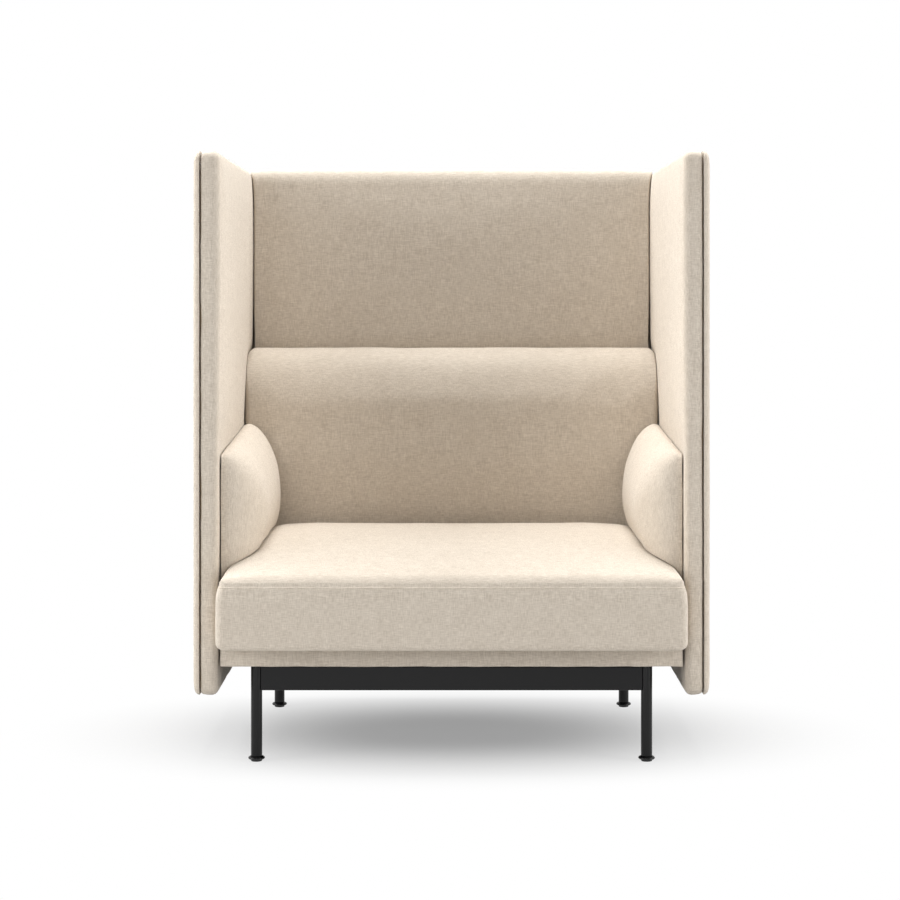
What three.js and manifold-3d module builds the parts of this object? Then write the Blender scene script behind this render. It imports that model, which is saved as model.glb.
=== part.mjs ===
// High back acoustic lounge chair: screens stand round a wide seat on a steel underframe.
// Lengths are in millimetres. X runs across the chair, +Y towards its back and +Z up. The origin lies on the
// floor, under the middle of the chair's box. Left and right are as seen from the front.
import * as THREE from "three";
import { mergeVertices } from "three/addons/utils/BufferGeometryUtils.js";
import Module from "manifold-3d";

const wasm = await Module();
wasm.setup();

// Overall sizes
const WIDTH = 1000;
const DEPTH = 750;
const HEIGHT = 1190;
const FIT = 0.3; // gap that pieces in touch keep
const OVERRUN = 4; // how far a cutting tool runs past what it cuts
const WELD_DISTANCE = 0.001; // closer points are one point

// Screens: outer skin, plywood core and inner pad, with an open reveal between skin and pad
const SCREEN_BOTTOM = 135;
const SEAT_OVERHANG = 70; // how far the seat cushion stands ahead of the screens
const SKIN_THICK = 12;
const SKIN_EDGE = 9;
const REVEAL = 3;
const SIDE_PAD_THICK = 32;
const BACK_PAD_THICK = 53;
const SIDE_PAD_EDGE = 6;
const BACK_PAD_EDGE = 18; // along its top and bottom
const BACK_PAD_SIDE_EDGE = 5;
const BACK_PAD_CORNER = 5; // it fills the corner between the side pads
const PAD_CROWN = 10; // how far a side pad swells towards the seat above the arm pads
const PAD_CROWN_TOP_REACH = 100;
const PAD_CROWN_FOOT_REACH = 480;
const PAD_CROWN_FRONT_REACH = 90;
const PAD_CROWN_REAR_REACH = 50; // over which the back screen presses the side pads flat again
const SCREEN_CORNER = 18;
const CORE_THICK = 15;
const CORE_INSET = 12;

// Steel underframe
const LEG_RADIUS = 11;
const TUBE_WALL = 2;
const SIDE_LEG_SETBACK = 118.5; // from the outside of the side screens to the middle of the legs
const FRONT_LEG_SETBACK = 40; // from the screens' front edge to the middle of the front legs
const REAR_LEG_SETBACK = 44; // from the back pad's face to the middle of the rear legs
const PLUG_LENGTH = 26;
const BEAM_HEIGHT = 48;
const BEAM_THICK = 18;
const PLATE_SIDE = 58;
const PLATE_THICK = 4;
const PLATE_BOLT_OFFSET = 30; // from the leg's middle to the bolt, along X and along Y

// Levelling feet
const PAD_DISC_RADIUS = 10.7;
const PAD_DISC_HEIGHT = 2.5;
const SPIGOT_RADIUS = 3;
const SPIGOT_HEIGHT = 3.5;
const FLANGE_RADIUS = 16.5;
const FLANGE_UNDER_RADIUS = 11.6;
const FLANGE_TOP_RADIUS = 13.4;
const FLANGE_RIM_LOW = 5;
const FLANGE_RIM_HIGH = 7.4;
const FOOT_HEIGHT = 10;
const STUD_RADIUS = 4;
const STUD_LENGTH = 32;

// M8 fasteners and the holes that they go through
const BOLT_RADIUS = 4;
const BOLT_HEAD_RADIUS = 6.5;
const BOLT_HEAD_HEIGHT = 4.5;
const HOLE_SLACK = 0.5;
const PLATE_BOLT_LENGTH = 28;
const CORE_GRIP = 12; // how deep a side screen bolt goes into the core
const BOARD_GRIP = 40; // how deep a corner bolt goes into the back core's end
const CORNER_BOLT_LOWER_INSET = 172; // from the bottom of the screens
const CORNER_BOLT_UPPER_INSET = 130; // from the top of the screens

// Timber seat base
const BASE_BOTTOM = 190;
const BASE_SIDE_GAP = 5;
const BASE_SETBACK = 4; // behind the screens' front edge
const BASE_COVER_THICK = 2.5;
const BASE_COVER_LIP = 20;
const RAIL_HEIGHT = 37;
const RAIL_THICK = 28;
const BEARER_WIDTH = 60;
const BEARER_HEIGHT = 26;
const BEARER_OUTSET = 10; // how far a bearer reaches outside the middle of the legs
const DUST_CLOTH_THICK = 1.2;
const STRAP_WIDTH = 70;
const STRAP_THICK = 2;
const STRAP_COUNT = 4;
const SCREEN_BOLT_INSET = 110; // from each end of the base to the bolts that hold a side screen

// Seat cushion
const SEAT_SIDE_GAP = 1.5;
const SEAT_SEAM_HEIGHT = 354; // height of the top seam above the floor
const SEAT_CROWN = 65;
const SEAT_CROWN_FRONT_REACH = 420;
const SEAT_CROWN_SIDE_REACH = 115; // the arm pads press the crown down over this width
const SEAT_CROWN_BACK_REACH = 35;
const SEAM_START_SHARE = 0.0094; // of the crown's curve, left out at the seam, so that it starts less steeply
const SEAT_CORNER = 26;
const SEAT_FOOT_ROUND = 8;
const SEAT_DRAW_IN = 9; // how far the seams pull in from the swelling sides

// Lower back cushion
const LUMBAR_THICK = 122;
const LUMBAR_TOP = 797;
const LUMBAR_CORNER = 12;
const LUMBAR_TOP_ROLL_DROP = 130; // height over which its face rolls back towards the top edge
const LUMBAR_TOP_ROLL_BACK = 84;
const LUMBAR_SIDE_ROLL = 14;

// Arm pads
const ARM_FRONT_SETBACK = 32; // behind the screens' front edge
const ARM_SWELL = 86;
const ARM_FRONT_TOP = 599;
const ARM_REAR_TOP = 629;
const ARM_FRONT_REACH = 150; // distance over which the swell builds up from the front seam
const ARM_TOP_REACH = 140;
const ARM_FOOT_REACH = 135;
const ARM_REAR_REACH = 60;
const ARM_SEAM_GAP = 3.5; // how far the front and top seams stand off the screen
const ARM_RIDGE_POWER = 5; // the higher, the sharper the ridge that runs in from each corner

// Smoothness of the round pieces, in sides
const TUBE_SIDES = 24;
const BOLT_SIDES = 12;

// Grid lines across a pad, as shares of its width or height: close together where the surface turns
const FLAT_PANEL_SHARES = [0, 0.01, 0.03, 0.97, 0.99, 1];
const CROWNED_PANEL_SHARES = [0, 0.012, 0.04, 0.12, 0.3, 0.5, 0.7, 0.88, 0.96, 0.988, 1];
const SEAT_GRID_SHARES = [0, 0.015, 0.04, 0.08, 0.15, 0.28, 0.5, 0.72, 0.85, 0.92, 0.96, 0.985, 1];
const ARM_GRID_SHARES = [0, 0.02, 0.06, 0.14, 0.26, 0.42, 0.6, 0.78, 0.9, 0.97, 1];
const LUMBAR_GRID_SHARES = [0, 0.01, 0.03, 0.1, 0.5, 0.9, 0.97, 0.99, 1];
const LUMBAR_HEIGHT_SHARES = [0, 0.03, 0.4, 0.74, 0.82, 0.88, 0.93, 0.965, 0.988, 1];
const ROUND_SHARES = [0, 0.15, 0.5, 1]; // steps down a rounded edge
const SEAT_WALL_SHARES = [0.06, 0.16, 0.5, 0.85]; // rows up the seat cushion's sides

// Places that several pieces share
const yFront = -DEPTH / 2;
const yRear = DEPTH / 2;
const yScreens = yFront + SEAT_OVERHANG;
const xOuter = WIDTH / 2;
const xInner = xOuter - SKIN_THICK - REVEAL - SIDE_PAD_THICK;
const yBackFace = yRear - SKIN_THICK - REVEAL - BACK_PAD_THICK;
const yLumbarFace = yBackFace - LUMBAR_THICK;
const yBase = yScreens + BASE_SETBACK;
const xBase = xInner - BASE_SIDE_GAP;
const zTimber = BASE_BOTTOM + BASE_COVER_THICK + FIT;
const zRailTop = zTimber + RAIL_HEIGHT;
const zDeck = zRailTop + FIT + STRAP_THICK;
const zCushions = zDeck + FIT;
const zPlate = zTimber - FIT - DUST_CLOTH_THICK - FIT - PLATE_THICK;
const xLeg = xOuter - SIDE_LEG_SETBACK;
const yFrontLegs = yScreens + FRONT_LEG_SETBACK;
const yRearLegs = yBackFace - REAR_LEG_SETBACK;
const yRailFront = yBase + BASE_COVER_THICK + FIT;
const yRailRear = yBackFace - FIT;
const xRail = xBase - BASE_COVER_THICK - FIT;
const xCore = xOuter - SKIN_THICK - FIT - CORE_THICK / 2;
const yCore = yRear - SKIN_THICK - FIT - CORE_THICK / 2;
const holeRadius = BOLT_RADIUS + HOLE_SLACK;
const cornerBoltHeights = [SCREEN_BOTTOM + CORNER_BOLT_LOWER_INSET, HEIGHT - CORNER_BOLT_UPPER_INSET];
const strapPitch = (2 * (xRail - RAIL_THICK)) / (STRAP_COUNT + 1);

// Finishes
const FINISHES = {
  fabric: { color: 0xd9ccb9, roughness: 0.95, metalness: 0 },
  powderCoat: { color: 0x1e1e1f, roughness: 0.45, metalness: 0.3 },
  nylon: { color: 0x161616, roughness: 0.6, metalness: 0 },
  plywood: { color: 0xc9a878, roughness: 0.7, metalness: 0 },
  beech: { color: 0xd0ab7d, roughness: 0.65, metalness: 0 },
  webbing: { color: 0x3a3a3c, roughness: 0.9, metalness: 0 },
  dustCloth: { color: 0x1b1b1d, roughness: 1, metalness: 0 },
  zinc: { color: 0xa9adb2, roughness: 0.35, metalness: 1 },
};

// Solids

// Turns a closed geometry into a solid that can be joined and cut. Triangles that have closed up are dropped.
function solid(geometry) {
  const bare = new THREE.BufferGeometry().setAttribute("position", geometry.getAttribute("position"));
  if (geometry.index) bare.setIndex(geometry.index);
  const merged = mergeVertices(bare, WELD_DISTANCE);
  const corners = merged.index.array;
  const kept = [];
  for (let i = 0; i < corners.length; i += 3) {
    const [a, b, c] = [corners[i], corners[i + 1], corners[i + 2]];
    if (a !== b && b !== c && a !== c) kept.push(a, b, c);
  }
  const mesh = new wasm.Mesh({
    numProp: 3,
    vertProperties: merged.attributes.position.array,
    triVerts: new Uint32Array(kept),
  });
  return new wasm.Manifold(mesh);
}

function geometryOf(made) {
  const mesh = made.getMesh();
  const places = new Float32Array(mesh.numVert * 3);
  for (let i = 0; i < mesh.numVert; i++) {
    places.set(mesh.vertProperties.subarray(i * mesh.numProp, i * mesh.numProp + 3), i * 3);
  }
  return new THREE.BufferGeometry()
    .setAttribute("position", new THREE.BufferAttribute(places, 3))
    .setIndex(new THREE.BufferAttribute(mesh.triVerts, 1));
}

// A block between two corners
function block(x0, x1, y0, y1, z0, z1) {
  const box = new THREE.BoxGeometry(x1 - x0, y1 - y0, z1 - z0);
  return solid(box.translate((x0 + x1) / 2, (y0 + y1) / 2, (z0 + z1) / 2));
}

// A turned piece: a profile of [radius, height] points from axis to axis, standing on the given point
function turned(profile, x, y, z, sides = TUBE_SIDES) {
  const points = profile.map(([radius, height]) => new THREE.Vector2(radius, height));
  return solid(new THREE.LatheGeometry(points, sides).rotateX(Math.PI / 2).translate(x, y, z));
}

// A rod between two heights
function rod(radius, z0, z1, x, y, sides = TUBE_SIDES) {
  return turned([[0, z0], [radius, z0], [radius, z1], [0, z1]], x, y, 0, sides);
}

// A rod along X between two places
function crossRod(radius, x0, x1, y, z) {
  const profile = [[0, x0], [radius, x0], [radius, x1], [0, x1]];
  const points = profile.map(([r, x]) => new THREE.Vector2(r, x));
  return solid(new THREE.LatheGeometry(points, BOLT_SIDES).rotateZ(-Math.PI / 2).translate(0, y, z));
}

// A bolt along X: its head's outer end is at x0 and its tip at x1
function crossBolt(x0, x1, y, z) {
  const way = Math.sign(x1 - x0);
  const xShank = x0 + way * BOLT_HEAD_HEIGHT;
  const xNeck = xShank - way * BOLT_HEAD_HEIGHT / 2;
  const head = crossRod(BOLT_HEAD_RADIUS, Math.min(x0, xShank), Math.max(x0, xShank), y, z);
  return head.add(crossRod(BOLT_RADIUS, Math.min(xNeck, x1), Math.max(xNeck, x1), y, z));
}

// Rises from 0 at an edge to 1 at the given reach from it, as a quarter of an ellipse, or as what is left of one
// once a share of it is cut off at its steep start
function swell(distance, reach, startShare = 0) {
  const share = startShare + (1 - startShare) * Math.min(Math.max(distance / reach, 0), 1);
  const start = Math.sqrt(1 - (1 - startShare) ** 2);
  return (Math.sqrt(1 - (1 - share) ** 2) - start) / (1 - start);
}

// Joins two swells from 0 to 1, with a ridge where they meet
function ridged(a, b, power) {
  return Math.max(1 - ((1 - a) ** power + (1 - b) ** power) ** (1 / power), 0);
}

// A closed pad: a back sheet and a front sheet over the same grid, joined round the rim by a wall.
// place(s, t, h) gives a point: s and t run from 0 to 1 over the sheets, and h from 0 behind to 1 in front.
function pad(columnShares, rowShares, wallShares, place) {
  const vertices = [];
  const triangles = [];
  const grid = (h) => columnShares.map((s) => rowShares.map((t) => vertices.push(place(s, t, h)) - 1));
  const sheet = (ids, flipped) => {
    for (let i = 0; i + 1 < ids.length; i++) {
      for (let j = 0; j + 1 < ids[i].length; j++) {
        const [a, b, c, d] = [ids[i][j], ids[i + 1][j], ids[i + 1][j + 1], ids[i][j + 1]];
        triangles.push(...(flipped ? [a, c, b, a, d, c] : [a, b, c, a, c, d]));
      }
    }
  };
  const back = grid(0);
  const front = grid(1);
  sheet(back, true);
  sheet(front, false);
  const lastColumn = columnShares.length - 1;
  const lastRow = rowShares.length - 1;
  const rim = [];
  for (let i = 0; i < lastColumn; i++) rim.push([i, 0]);
  for (let j = 0; j < lastRow; j++) rim.push([lastColumn, j]);
  for (let i = lastColumn; i > 0; i--) rim.push([i, lastRow]);
  for (let j = lastRow; j > 0; j--) rim.push([0, j]);
  const rings = [rim.map(([i, j]) => back[i][j])];
  for (const h of wallShares) {
    rings.push(rim.map(([i, j]) => vertices.push(place(columnShares[i], rowShares[j], h)) - 1));
  }
  rings.push(rim.map(([i, j]) => front[i][j]));
  for (let k = 0; k + 1 < rings.length; k++) {
    for (let i = 0; i < rim.length; i++) {
      const next = (i + 1) % rim.length;
      const [a, b, c, d] = [rings[k][i], rings[k][next], rings[k + 1][next], rings[k + 1][i]];
      triangles.push(a, b, c, a, c, d);
    }
  }
  const geometry = new THREE.BufferGeometry();
  geometry.setAttribute("position", new THREE.Float32BufferAttribute(vertices.flat(), 3));
  geometry.setIndex(triangles);
  return solid(geometry);
}

// Bends the corner squares of a rectangle with half sizes a and b into quarter rounds
function roundCorner(u, v, a, b, radius) {
  const [du, dv] = [Math.abs(u) - (a - radius), Math.abs(v) - (b - radius)];
  if (du <= 0 || dv <= 0) return [u, v];
  const pull = Math.max(du, dv) / Math.hypot(du, dv);
  return [Math.sign(u) * (a - radius + du * pull), Math.sign(v) * (b - radius + dv * pull)];
}

// A padded panel: width along u, height along v, thickness along w from 0. Its front edges are rounded.
function panel(width, height, thick, edge, { sideEdge = edge, corner = SCREEN_CORNER, crown } = {}) {
  const wall = ROUND_SHARES.slice(0, -1).map((share) => (thick - edge * (1 - share)) / thick);
  const grid = crown ? CROWNED_PANEL_SHARES : FLAT_PANEL_SHARES;
  return (place) =>
    pad(grid, grid, wall, (s, t, h) => {
      const w = h * thick;
      const round = 1 - swell(thick - w, edge);
      const [a, b] = [width / 2 - sideEdge * round, height / 2 - edge * round];
      const [u, v] = roundCorner(a * (2 * s - 1), b * (2 * t - 1), a, b, corner);
      return place(u, v, h === 1 && crown ? w + crown(u, v) : w);
    });
}

// Screens

const screenDepth = yRear - yScreens;
const screenHeight = HEIGHT - SCREEN_BOTTOM;
const yScreenMiddle = (yRear + yScreens) / 2;
const zScreenMiddle = (HEIGHT + SCREEN_BOTTOM) / 2;
const backWidth = 2 * (xInner - FIT);

// How far the inner face of a side pad swells, at a place on it
function sidePadCrown(y, z) {
  const upright = swell(z - ARM_REAR_TOP, PAD_CROWN_FOOT_REACH) * swell(HEIGHT - z, PAD_CROWN_TOP_REACH);
  const ySqueezed = yRear - SKIN_THICK - REVEAL;
  const along = swell(y - yScreens, PAD_CROWN_FRONT_REACH) * swell(ySqueezed - y, PAD_CROWN_REAR_REACH);
  return PAD_CROWN * upright * along;
}

// side is -1 for left and 1 for right
function sideSkin(side) {
  const make = panel(screenDepth, screenHeight, SKIN_THICK, SKIN_EDGE);
  return make((u, v, w) => [side * (xOuter - SKIN_THICK + w), yScreenMiddle + side * u, zScreenMiddle + v]);
}

function sidePadBody(side) {
  const crown = (u, v) => sidePadCrown(yScreenMiddle - side * u, zScreenMiddle + v);
  const make = panel(screenDepth, screenHeight, SIDE_PAD_THICK, SIDE_PAD_EDGE, { crown });
  const xBack = xInner + SIDE_PAD_THICK;
  return make((u, v, w) => [side * (xBack - w), yScreenMiddle - side * u, zScreenMiddle + v]);
}

function sideCore(side) {
  const [y0, y1] = [yScreens + CORE_INSET, yRear - CORE_INSET];
  const board = block(
    side * xCore - CORE_THICK / 2, side * xCore + CORE_THICK / 2,
    y0, y1, SCREEN_BOTTOM + CORE_INSET, HEIGHT - CORE_INSET,
  );
  const cuts = sideScreenHoles(side).concat(cornerHoles(side), cornerHeadPockets(side));
  return cuts.reduce((made, cut) => made.subtract(cut), board);
}

function sidePad(side) {
  const [x0, x1] = [xCore - CORE_THICK / 2 - FIT, xOuter];
  const recess = block(
    Math.min(side * x0, side * x1), Math.max(side * x0, side * x1),
    yScreens + CORE_INSET - FIT, yRear - CORE_INSET + FIT,
    SCREEN_BOTTOM + CORE_INSET - FIT, HEIGHT - CORE_INSET + FIT,
  );
  const cuts = [recess, ...sideScreenHoles(side), ...cornerHoles(side)];
  return cuts.reduce((made, cut) => made.subtract(cut), sidePadBody(side));
}

// What a neighbour is cut back by so that it clears a swelling side pad
function sidePadCutter(side) {
  return sidePadBody(side).translate([-side * FIT, 0, 0]);
}

function backSkin() {
  const make = panel(backWidth, screenHeight, SKIN_THICK, SKIN_EDGE);
  const skin = make((u, v, w) => [-u, yRear - SKIN_THICK + w, zScreenMiddle + v]);
  return skin.subtract(sidePadCutter(-1)).subtract(sidePadCutter(1));
}

function backPadBody() {
  const make = panel(backWidth, screenHeight, BACK_PAD_THICK, BACK_PAD_EDGE, {
    sideEdge: BACK_PAD_SIDE_EDGE, corner: BACK_PAD_CORNER,
  });
  return make((u, v, w) => [u, yBackFace + BACK_PAD_THICK - w, zScreenMiddle + v]);
}

const xBackCore = xInner - FIT - CORE_INSET;

function backPad() {
  const recess = block(
    -xBackCore - FIT, xBackCore + FIT, yCore - CORE_THICK / 2 - FIT, yRear,
    SCREEN_BOTTOM + CORE_INSET - FIT, HEIGHT - CORE_INSET + FIT,
  );
  const cuts = [recess, ...cornerHoles(-1), ...cornerHoles(1), sidePadCutter(-1), sidePadCutter(1)];
  return cuts.reduce((made, cut) => made.subtract(cut), backPadBody());
}

function backCore() {
  const board = block(
    -xBackCore, xBackCore, yCore - CORE_THICK / 2, yCore + CORE_THICK / 2,
    SCREEN_BOTTOM + CORE_INSET, HEIGHT - CORE_INSET,
  );
  return [...cornerHoles(-1), ...cornerHoles(1)].reduce((made, cut) => made.subtract(cut), board);
}

// Bolts of the screens

const xCornerTip = xBackCore - BOARD_GRIP;
const xCornerHead = xOuter - SKIN_THICK - FIT - FIT;

function cornerHoles(side) {
  const [x0, x1] = [side * (xCornerTip - FIT), side * (xOuter - SKIN_THICK)];
  return cornerBoltHeights.map((z) => crossRod(holeRadius, Math.min(x0, x1), Math.max(x0, x1), yCore, z));
}

function cornerHeadPockets(side) {
  const [x0, x1] = [side * (xCornerHead - BOLT_HEAD_HEIGHT - FIT), side * (xCornerHead + OVERRUN)];
  const radius = BOLT_HEAD_RADIUS + HOLE_SLACK;
  return cornerBoltHeights.map((z) => crossRod(radius, Math.min(x0, x1), Math.max(x0, x1), yCore, z));
}

function cornerBolt(side, z) {
  return crossBolt(side * xCornerHead, side * xCornerTip, yCore, z);
}

const zScreenBolts = zTimber + RAIL_HEIGHT / 2;
const yScreenBolts = [yRailFront + SCREEN_BOLT_INSET, yRailRear - SCREEN_BOLT_INSET];
const xScreenBoltHead = xRail - RAIL_THICK - FIT - BOLT_HEAD_HEIGHT;
const xScreenBoltTip = xCore - CORE_THICK / 2 + CORE_GRIP;

function sideScreenHoles(side) {
  const [x0, x1] = [side * (xRail - RAIL_THICK - OVERRUN), side * (xScreenBoltTip + FIT)];
  return yScreenBolts.map((y) => crossRod(holeRadius, Math.min(x0, x1), Math.max(x0, x1), y, zScreenBolts));
}

function screenBolt(side, y) {
  return crossBolt(side * xScreenBoltHead, side * xScreenBoltTip, y, zScreenBolts);
}

// Seat base

function frontRail() {
  const x = xRail - RAIL_THICK - FIT;
  return block(-x, x, yRailFront, yRailFront + RAIL_THICK, zTimber, zRailTop);
}

function rearRail() {
  const x = xRail - RAIL_THICK - FIT;
  return block(-x, x, yRailRear - RAIL_THICK, yRailRear, zTimber, zRailTop);
}

function sideRail(side) {
  const [x0, x1] = [side * (xRail - RAIL_THICK), side * xRail];
  const rail = block(Math.min(x0, x1), Math.max(x0, x1), yRailFront, yRailRear, zTimber, zRailTop);
  return sideScreenHoles(side).reduce((made, cut) => made.subtract(cut), rail);
}

function bearer(side) {
  const [x0, x1] = [side * (xLeg + BEARER_OUTSET - BEARER_WIDTH), side * (xLeg + BEARER_OUTSET)];
  const [y0, y1] = [yRailFront + RAIL_THICK + FIT, yRailRear - RAIL_THICK - FIT];
  const timber = block(Math.min(x0, x1), Math.max(x0, x1), y0, y1, zTimber, zTimber + BEARER_HEIGHT);
  return plateHoles(side).reduce((made, cut) => made.subtract(cut), timber);
}

// An outline of [across, up] points drawn out along Y
function drawnAlongY(points, y0, y1) {
  const shape = new THREE.Shape(points.map(([x, z]) => new THREE.Vector2(x, z)));
  const geometry = new THREE.ExtrudeGeometry(shape, { depth: y1 - y0, bevelEnabled: false });
  return solid(geometry.rotateX(Math.PI / 2).translate(0, y1, 0));
}

// Cloth over a rail: its outer face and a lip turned under
function sideCover(side) {
  const [x, z0, z1] = [xBase, BASE_BOTTOM, zRailTop];
  const outline = [
    [x, z0], [x, z1], [x - BASE_COVER_THICK, z1], [x - BASE_COVER_THICK, z0 + BASE_COVER_THICK],
    [x - BASE_COVER_LIP, z0 + BASE_COVER_THICK], [x - BASE_COVER_LIP, z0],
  ];
  const points = side > 0 ? outline : outline.map(([u, v]) => [-u, v]).reverse();
  const cover = drawnAlongY(points, yRailFront, yRailRear);
  return sideScreenHoles(side).reduce((made, cut) => made.subtract(cut), cover);
}

function frontCover() {
  const face = block(-xBase, xBase, yBase, yBase + BASE_COVER_THICK, BASE_BOTTOM, zRailTop);
  const xLip = xBase - BASE_COVER_LIP - FIT;
  const yLip = yBase + BASE_COVER_LIP;
  return face.add(block(-xLip, xLip, yBase, yLip, BASE_BOTTOM, BASE_BOTTOM + BASE_COVER_THICK));
}

function dustCloth() {
  const z1 = zTimber - FIT;
  const x = xBase - BASE_COVER_LIP - FIT;
  const cloth = block(-x, x, yBase + BASE_COVER_LIP + FIT, yRailRear, z1 - DUST_CLOTH_THICK, z1);
  return [...plateHoles(-1), ...plateHoles(1)].reduce((made, cut) => made.subtract(cut), cloth);
}

function strap(x) {
  const z0 = zRailTop + FIT;
  return block(x - STRAP_WIDTH / 2, x + STRAP_WIDTH / 2, yRailFront, yRailRear, z0, z0 + STRAP_THICK);
}

// Underframe

// front is 1 for a front leg and -1 for a rear one: the way from the leg to the middle of the frame along Y
function plateBoltPlace(side, front) {
  const yLeg = front > 0 ? yFrontLegs : yRearLegs;
  return [side * (xLeg - PLATE_BOLT_OFFSET), yLeg + front * PLATE_BOLT_OFFSET];
}

function plateHoles(side) {
  return [1, -1].map((front) => {
    const [x, y] = plateBoltPlace(side, front);
    return rod(holeRadius, zPlate - OVERRUN, zPlate - BOLT_HEAD_HEIGHT + PLATE_BOLT_LENGTH, x, y, BOLT_SIDES);
  });
}

function leg(x, y) {
  const [z0, z1] = [FOOT_HEIGHT + FIT, zPlate - FIT];
  const tube = rod(LEG_RADIUS, z0, z1, x, y);
  const bore = rod(LEG_RADIUS - TUBE_WALL, z0 + PLUG_LENGTH, z1 + OVERRUN, x, y);
  const thread = rod(STUD_RADIUS + HOLE_SLACK, z0 - OVERRUN, z0 + PLUG_LENGTH + OVERRUN, x, y, BOLT_SIDES);
  return tube.subtract(bore).subtract(thread);
}

// A rectangular tube lying along X, with its ends shaped to the legs and clear of the side beams
function crossBeam(y) {
  const [z0, z1] = [zPlate - FIT - BEAM_HEIGHT, zPlate - FIT];
  const half = BEAM_THICK / 2;
  const xEnd = xLeg - half - FIT;
  const outer = block(-xEnd, xEnd, y - half, y + half, z0, z1);
  const inner = block(
    -xLeg - OVERRUN, xLeg + OVERRUN, y - half + TUBE_WALL, y + half - TUBE_WALL,
    z0 + TUBE_WALL, z1 - TUBE_WALL,
  );
  return [-xLeg, xLeg].reduce((made, x) => made.subtract(legCutter(x, y)), outer.subtract(inner));
}

// The same tube lying along Y between a front and a rear leg
function sideBeam(side) {
  const [z0, z1] = [zPlate - FIT - BEAM_HEIGHT, zPlate - FIT];
  const [x, half] = [side * xLeg, BEAM_THICK / 2];
  const outer = block(x - half, x + half, yFrontLegs, yRearLegs, z0, z1);
  const inner = block(
    x - half + TUBE_WALL, x + half - TUBE_WALL, yFrontLegs - OVERRUN, yRearLegs + OVERRUN,
    z0 + TUBE_WALL, z1 - TUBE_WALL,
  );
  return [yFrontLegs, yRearLegs].reduce((made, y) => made.subtract(legCutter(x, y)), outer.subtract(inner));
}

function legCutter(x, y) {
  return rod(LEG_RADIUS + FIT, zPlate - BEAM_HEIGHT - OVERRUN, zPlate + OVERRUN, x, y);
}

function cornerPlate(side, front) {
  const yLeg = front > 0 ? yFrontLegs : yRearLegs;
  const [x0, x1] = [side * (xLeg + LEG_RADIUS), side * (xLeg + LEG_RADIUS - PLATE_SIDE)];
  const [y0, y1] = [yLeg - front * LEG_RADIUS, yLeg - front * (LEG_RADIUS - PLATE_SIDE)];
  const plate = block(
    Math.min(x0, x1), Math.max(x0, x1), Math.min(y0, y1), Math.max(y0, y1), zPlate, zPlate + PLATE_THICK,
  );
  return plateHoles(side).reduce((made, cut) => made.subtract(cut), plate);
}

function plateBolt(side, front) {
  const [x, y] = plateBoltPlace(side, front);
  const z = zPlate - FIT - BOLT_HEAD_HEIGHT;
  const [zNeck, zTip] = [z + BOLT_HEAD_HEIGHT, z + PLATE_BOLT_LENGTH - FIT];
  const profile = [
    [0, z], [BOLT_HEAD_RADIUS, z], [BOLT_HEAD_RADIUS, zNeck],
    [BOLT_RADIUS, zNeck], [BOLT_RADIUS, zTip], [0, zTip],
  ];
  return turned(profile, x, y, 0, BOLT_SIDES);
}

// Levelling feet

// The nylon disc that stands on the floor. Its spigot turns in the foot.
function glidePad(x, y) {
  const top = PAD_DISC_HEIGHT + SPIGOT_HEIGHT;
  const profile = [
    [0, 0], [PAD_DISC_RADIUS, 0], [PAD_DISC_RADIUS, PAD_DISC_HEIGHT], [SPIGOT_RADIUS, PAD_DISC_HEIGHT],
    [SPIGOT_RADIUS, top], [0, top],
  ];
  return turned(profile, x, y, 0);
}

// The steel flange with its screwed stud
function levellingFoot(x, y) {
  const under = PAD_DISC_HEIGHT + FIT;
  const socket = under + SPIGOT_HEIGHT;
  const profile = [
    [0, socket], [SPIGOT_RADIUS + FIT, socket], [SPIGOT_RADIUS + FIT, under], [FLANGE_UNDER_RADIUS, under],
    [FLANGE_RADIUS, FLANGE_RIM_LOW], [FLANGE_RADIUS, FLANGE_RIM_HIGH], [FLANGE_TOP_RADIUS, FOOT_HEIGHT],
    [STUD_RADIUS, FOOT_HEIGHT], [STUD_RADIUS, FOOT_HEIGHT + STUD_LENGTH], [0, FOOT_HEIGHT + STUD_LENGTH],
  ];
  return turned(profile, x, y, 0);
}

// Cushions

const seatRear = yLumbarFace - FIT;
const seatHalfWidth = xInner - SEAT_SIDE_GAP;
const seatLength = seatRear - yFront;
const seatSide = SEAT_SEAM_HEIGHT - zCushions;

// Height of the seat cushion's crown above its top seam
function seatCrown(x, y) {
  const fromSide = seatHalfWidth - SEAT_DRAW_IN - Math.abs(x);
  const [fromFront, fromRear] = [y - yFront - SEAT_DRAW_IN, seatRear - SEAT_DRAW_IN - y];
  const across = swell(fromSide, SEAT_CROWN_SIDE_REACH, SEAM_START_SHARE);
  const along = swell(fromFront, SEAT_CROWN_FRONT_REACH, SEAM_START_SHARE);
  return SEAT_CROWN * across * along * swell(fromRear, SEAT_CROWN_BACK_REACH);
}

// How far the seat's wall lies in from its fullest line, at a share of the wall's height
function seatWallInset(h) {
  const up = h * seatSide;
  const foot = SEAT_FOOT_ROUND * (1 - swell(up, SEAT_FOOT_ROUND));
  const drawn = SEAT_DRAW_IN * (2 * h - 1) ** 2;
  return foot + drawn;
}

function seatCushion() {
  return pad(SEAT_GRID_SHARES, SEAT_GRID_SHARES, SEAT_WALL_SHARES, (s, t, h) => {
    const inset = seatWallInset(h);
    const [a, b] = [seatHalfWidth - inset, seatLength / 2 - inset];
    const [u, v] = roundCorner(a * (2 * s - 1), b * (2 * t - 1), a, b, SEAT_CORNER);
    const y = v + yFront + seatLength / 2;
    return [u, y, zCushions + h * seatSide + (h === 1 ? seatCrown(u, y) : 0)];
  });
}

// How far the lower back cushion's face rolls back at a height
function lumbarRoll(z) {
  return LUMBAR_TOP_ROLL_BACK * (1 - swell(LUMBAR_TOP - z, LUMBAR_TOP_ROLL_DROP));
}

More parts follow.
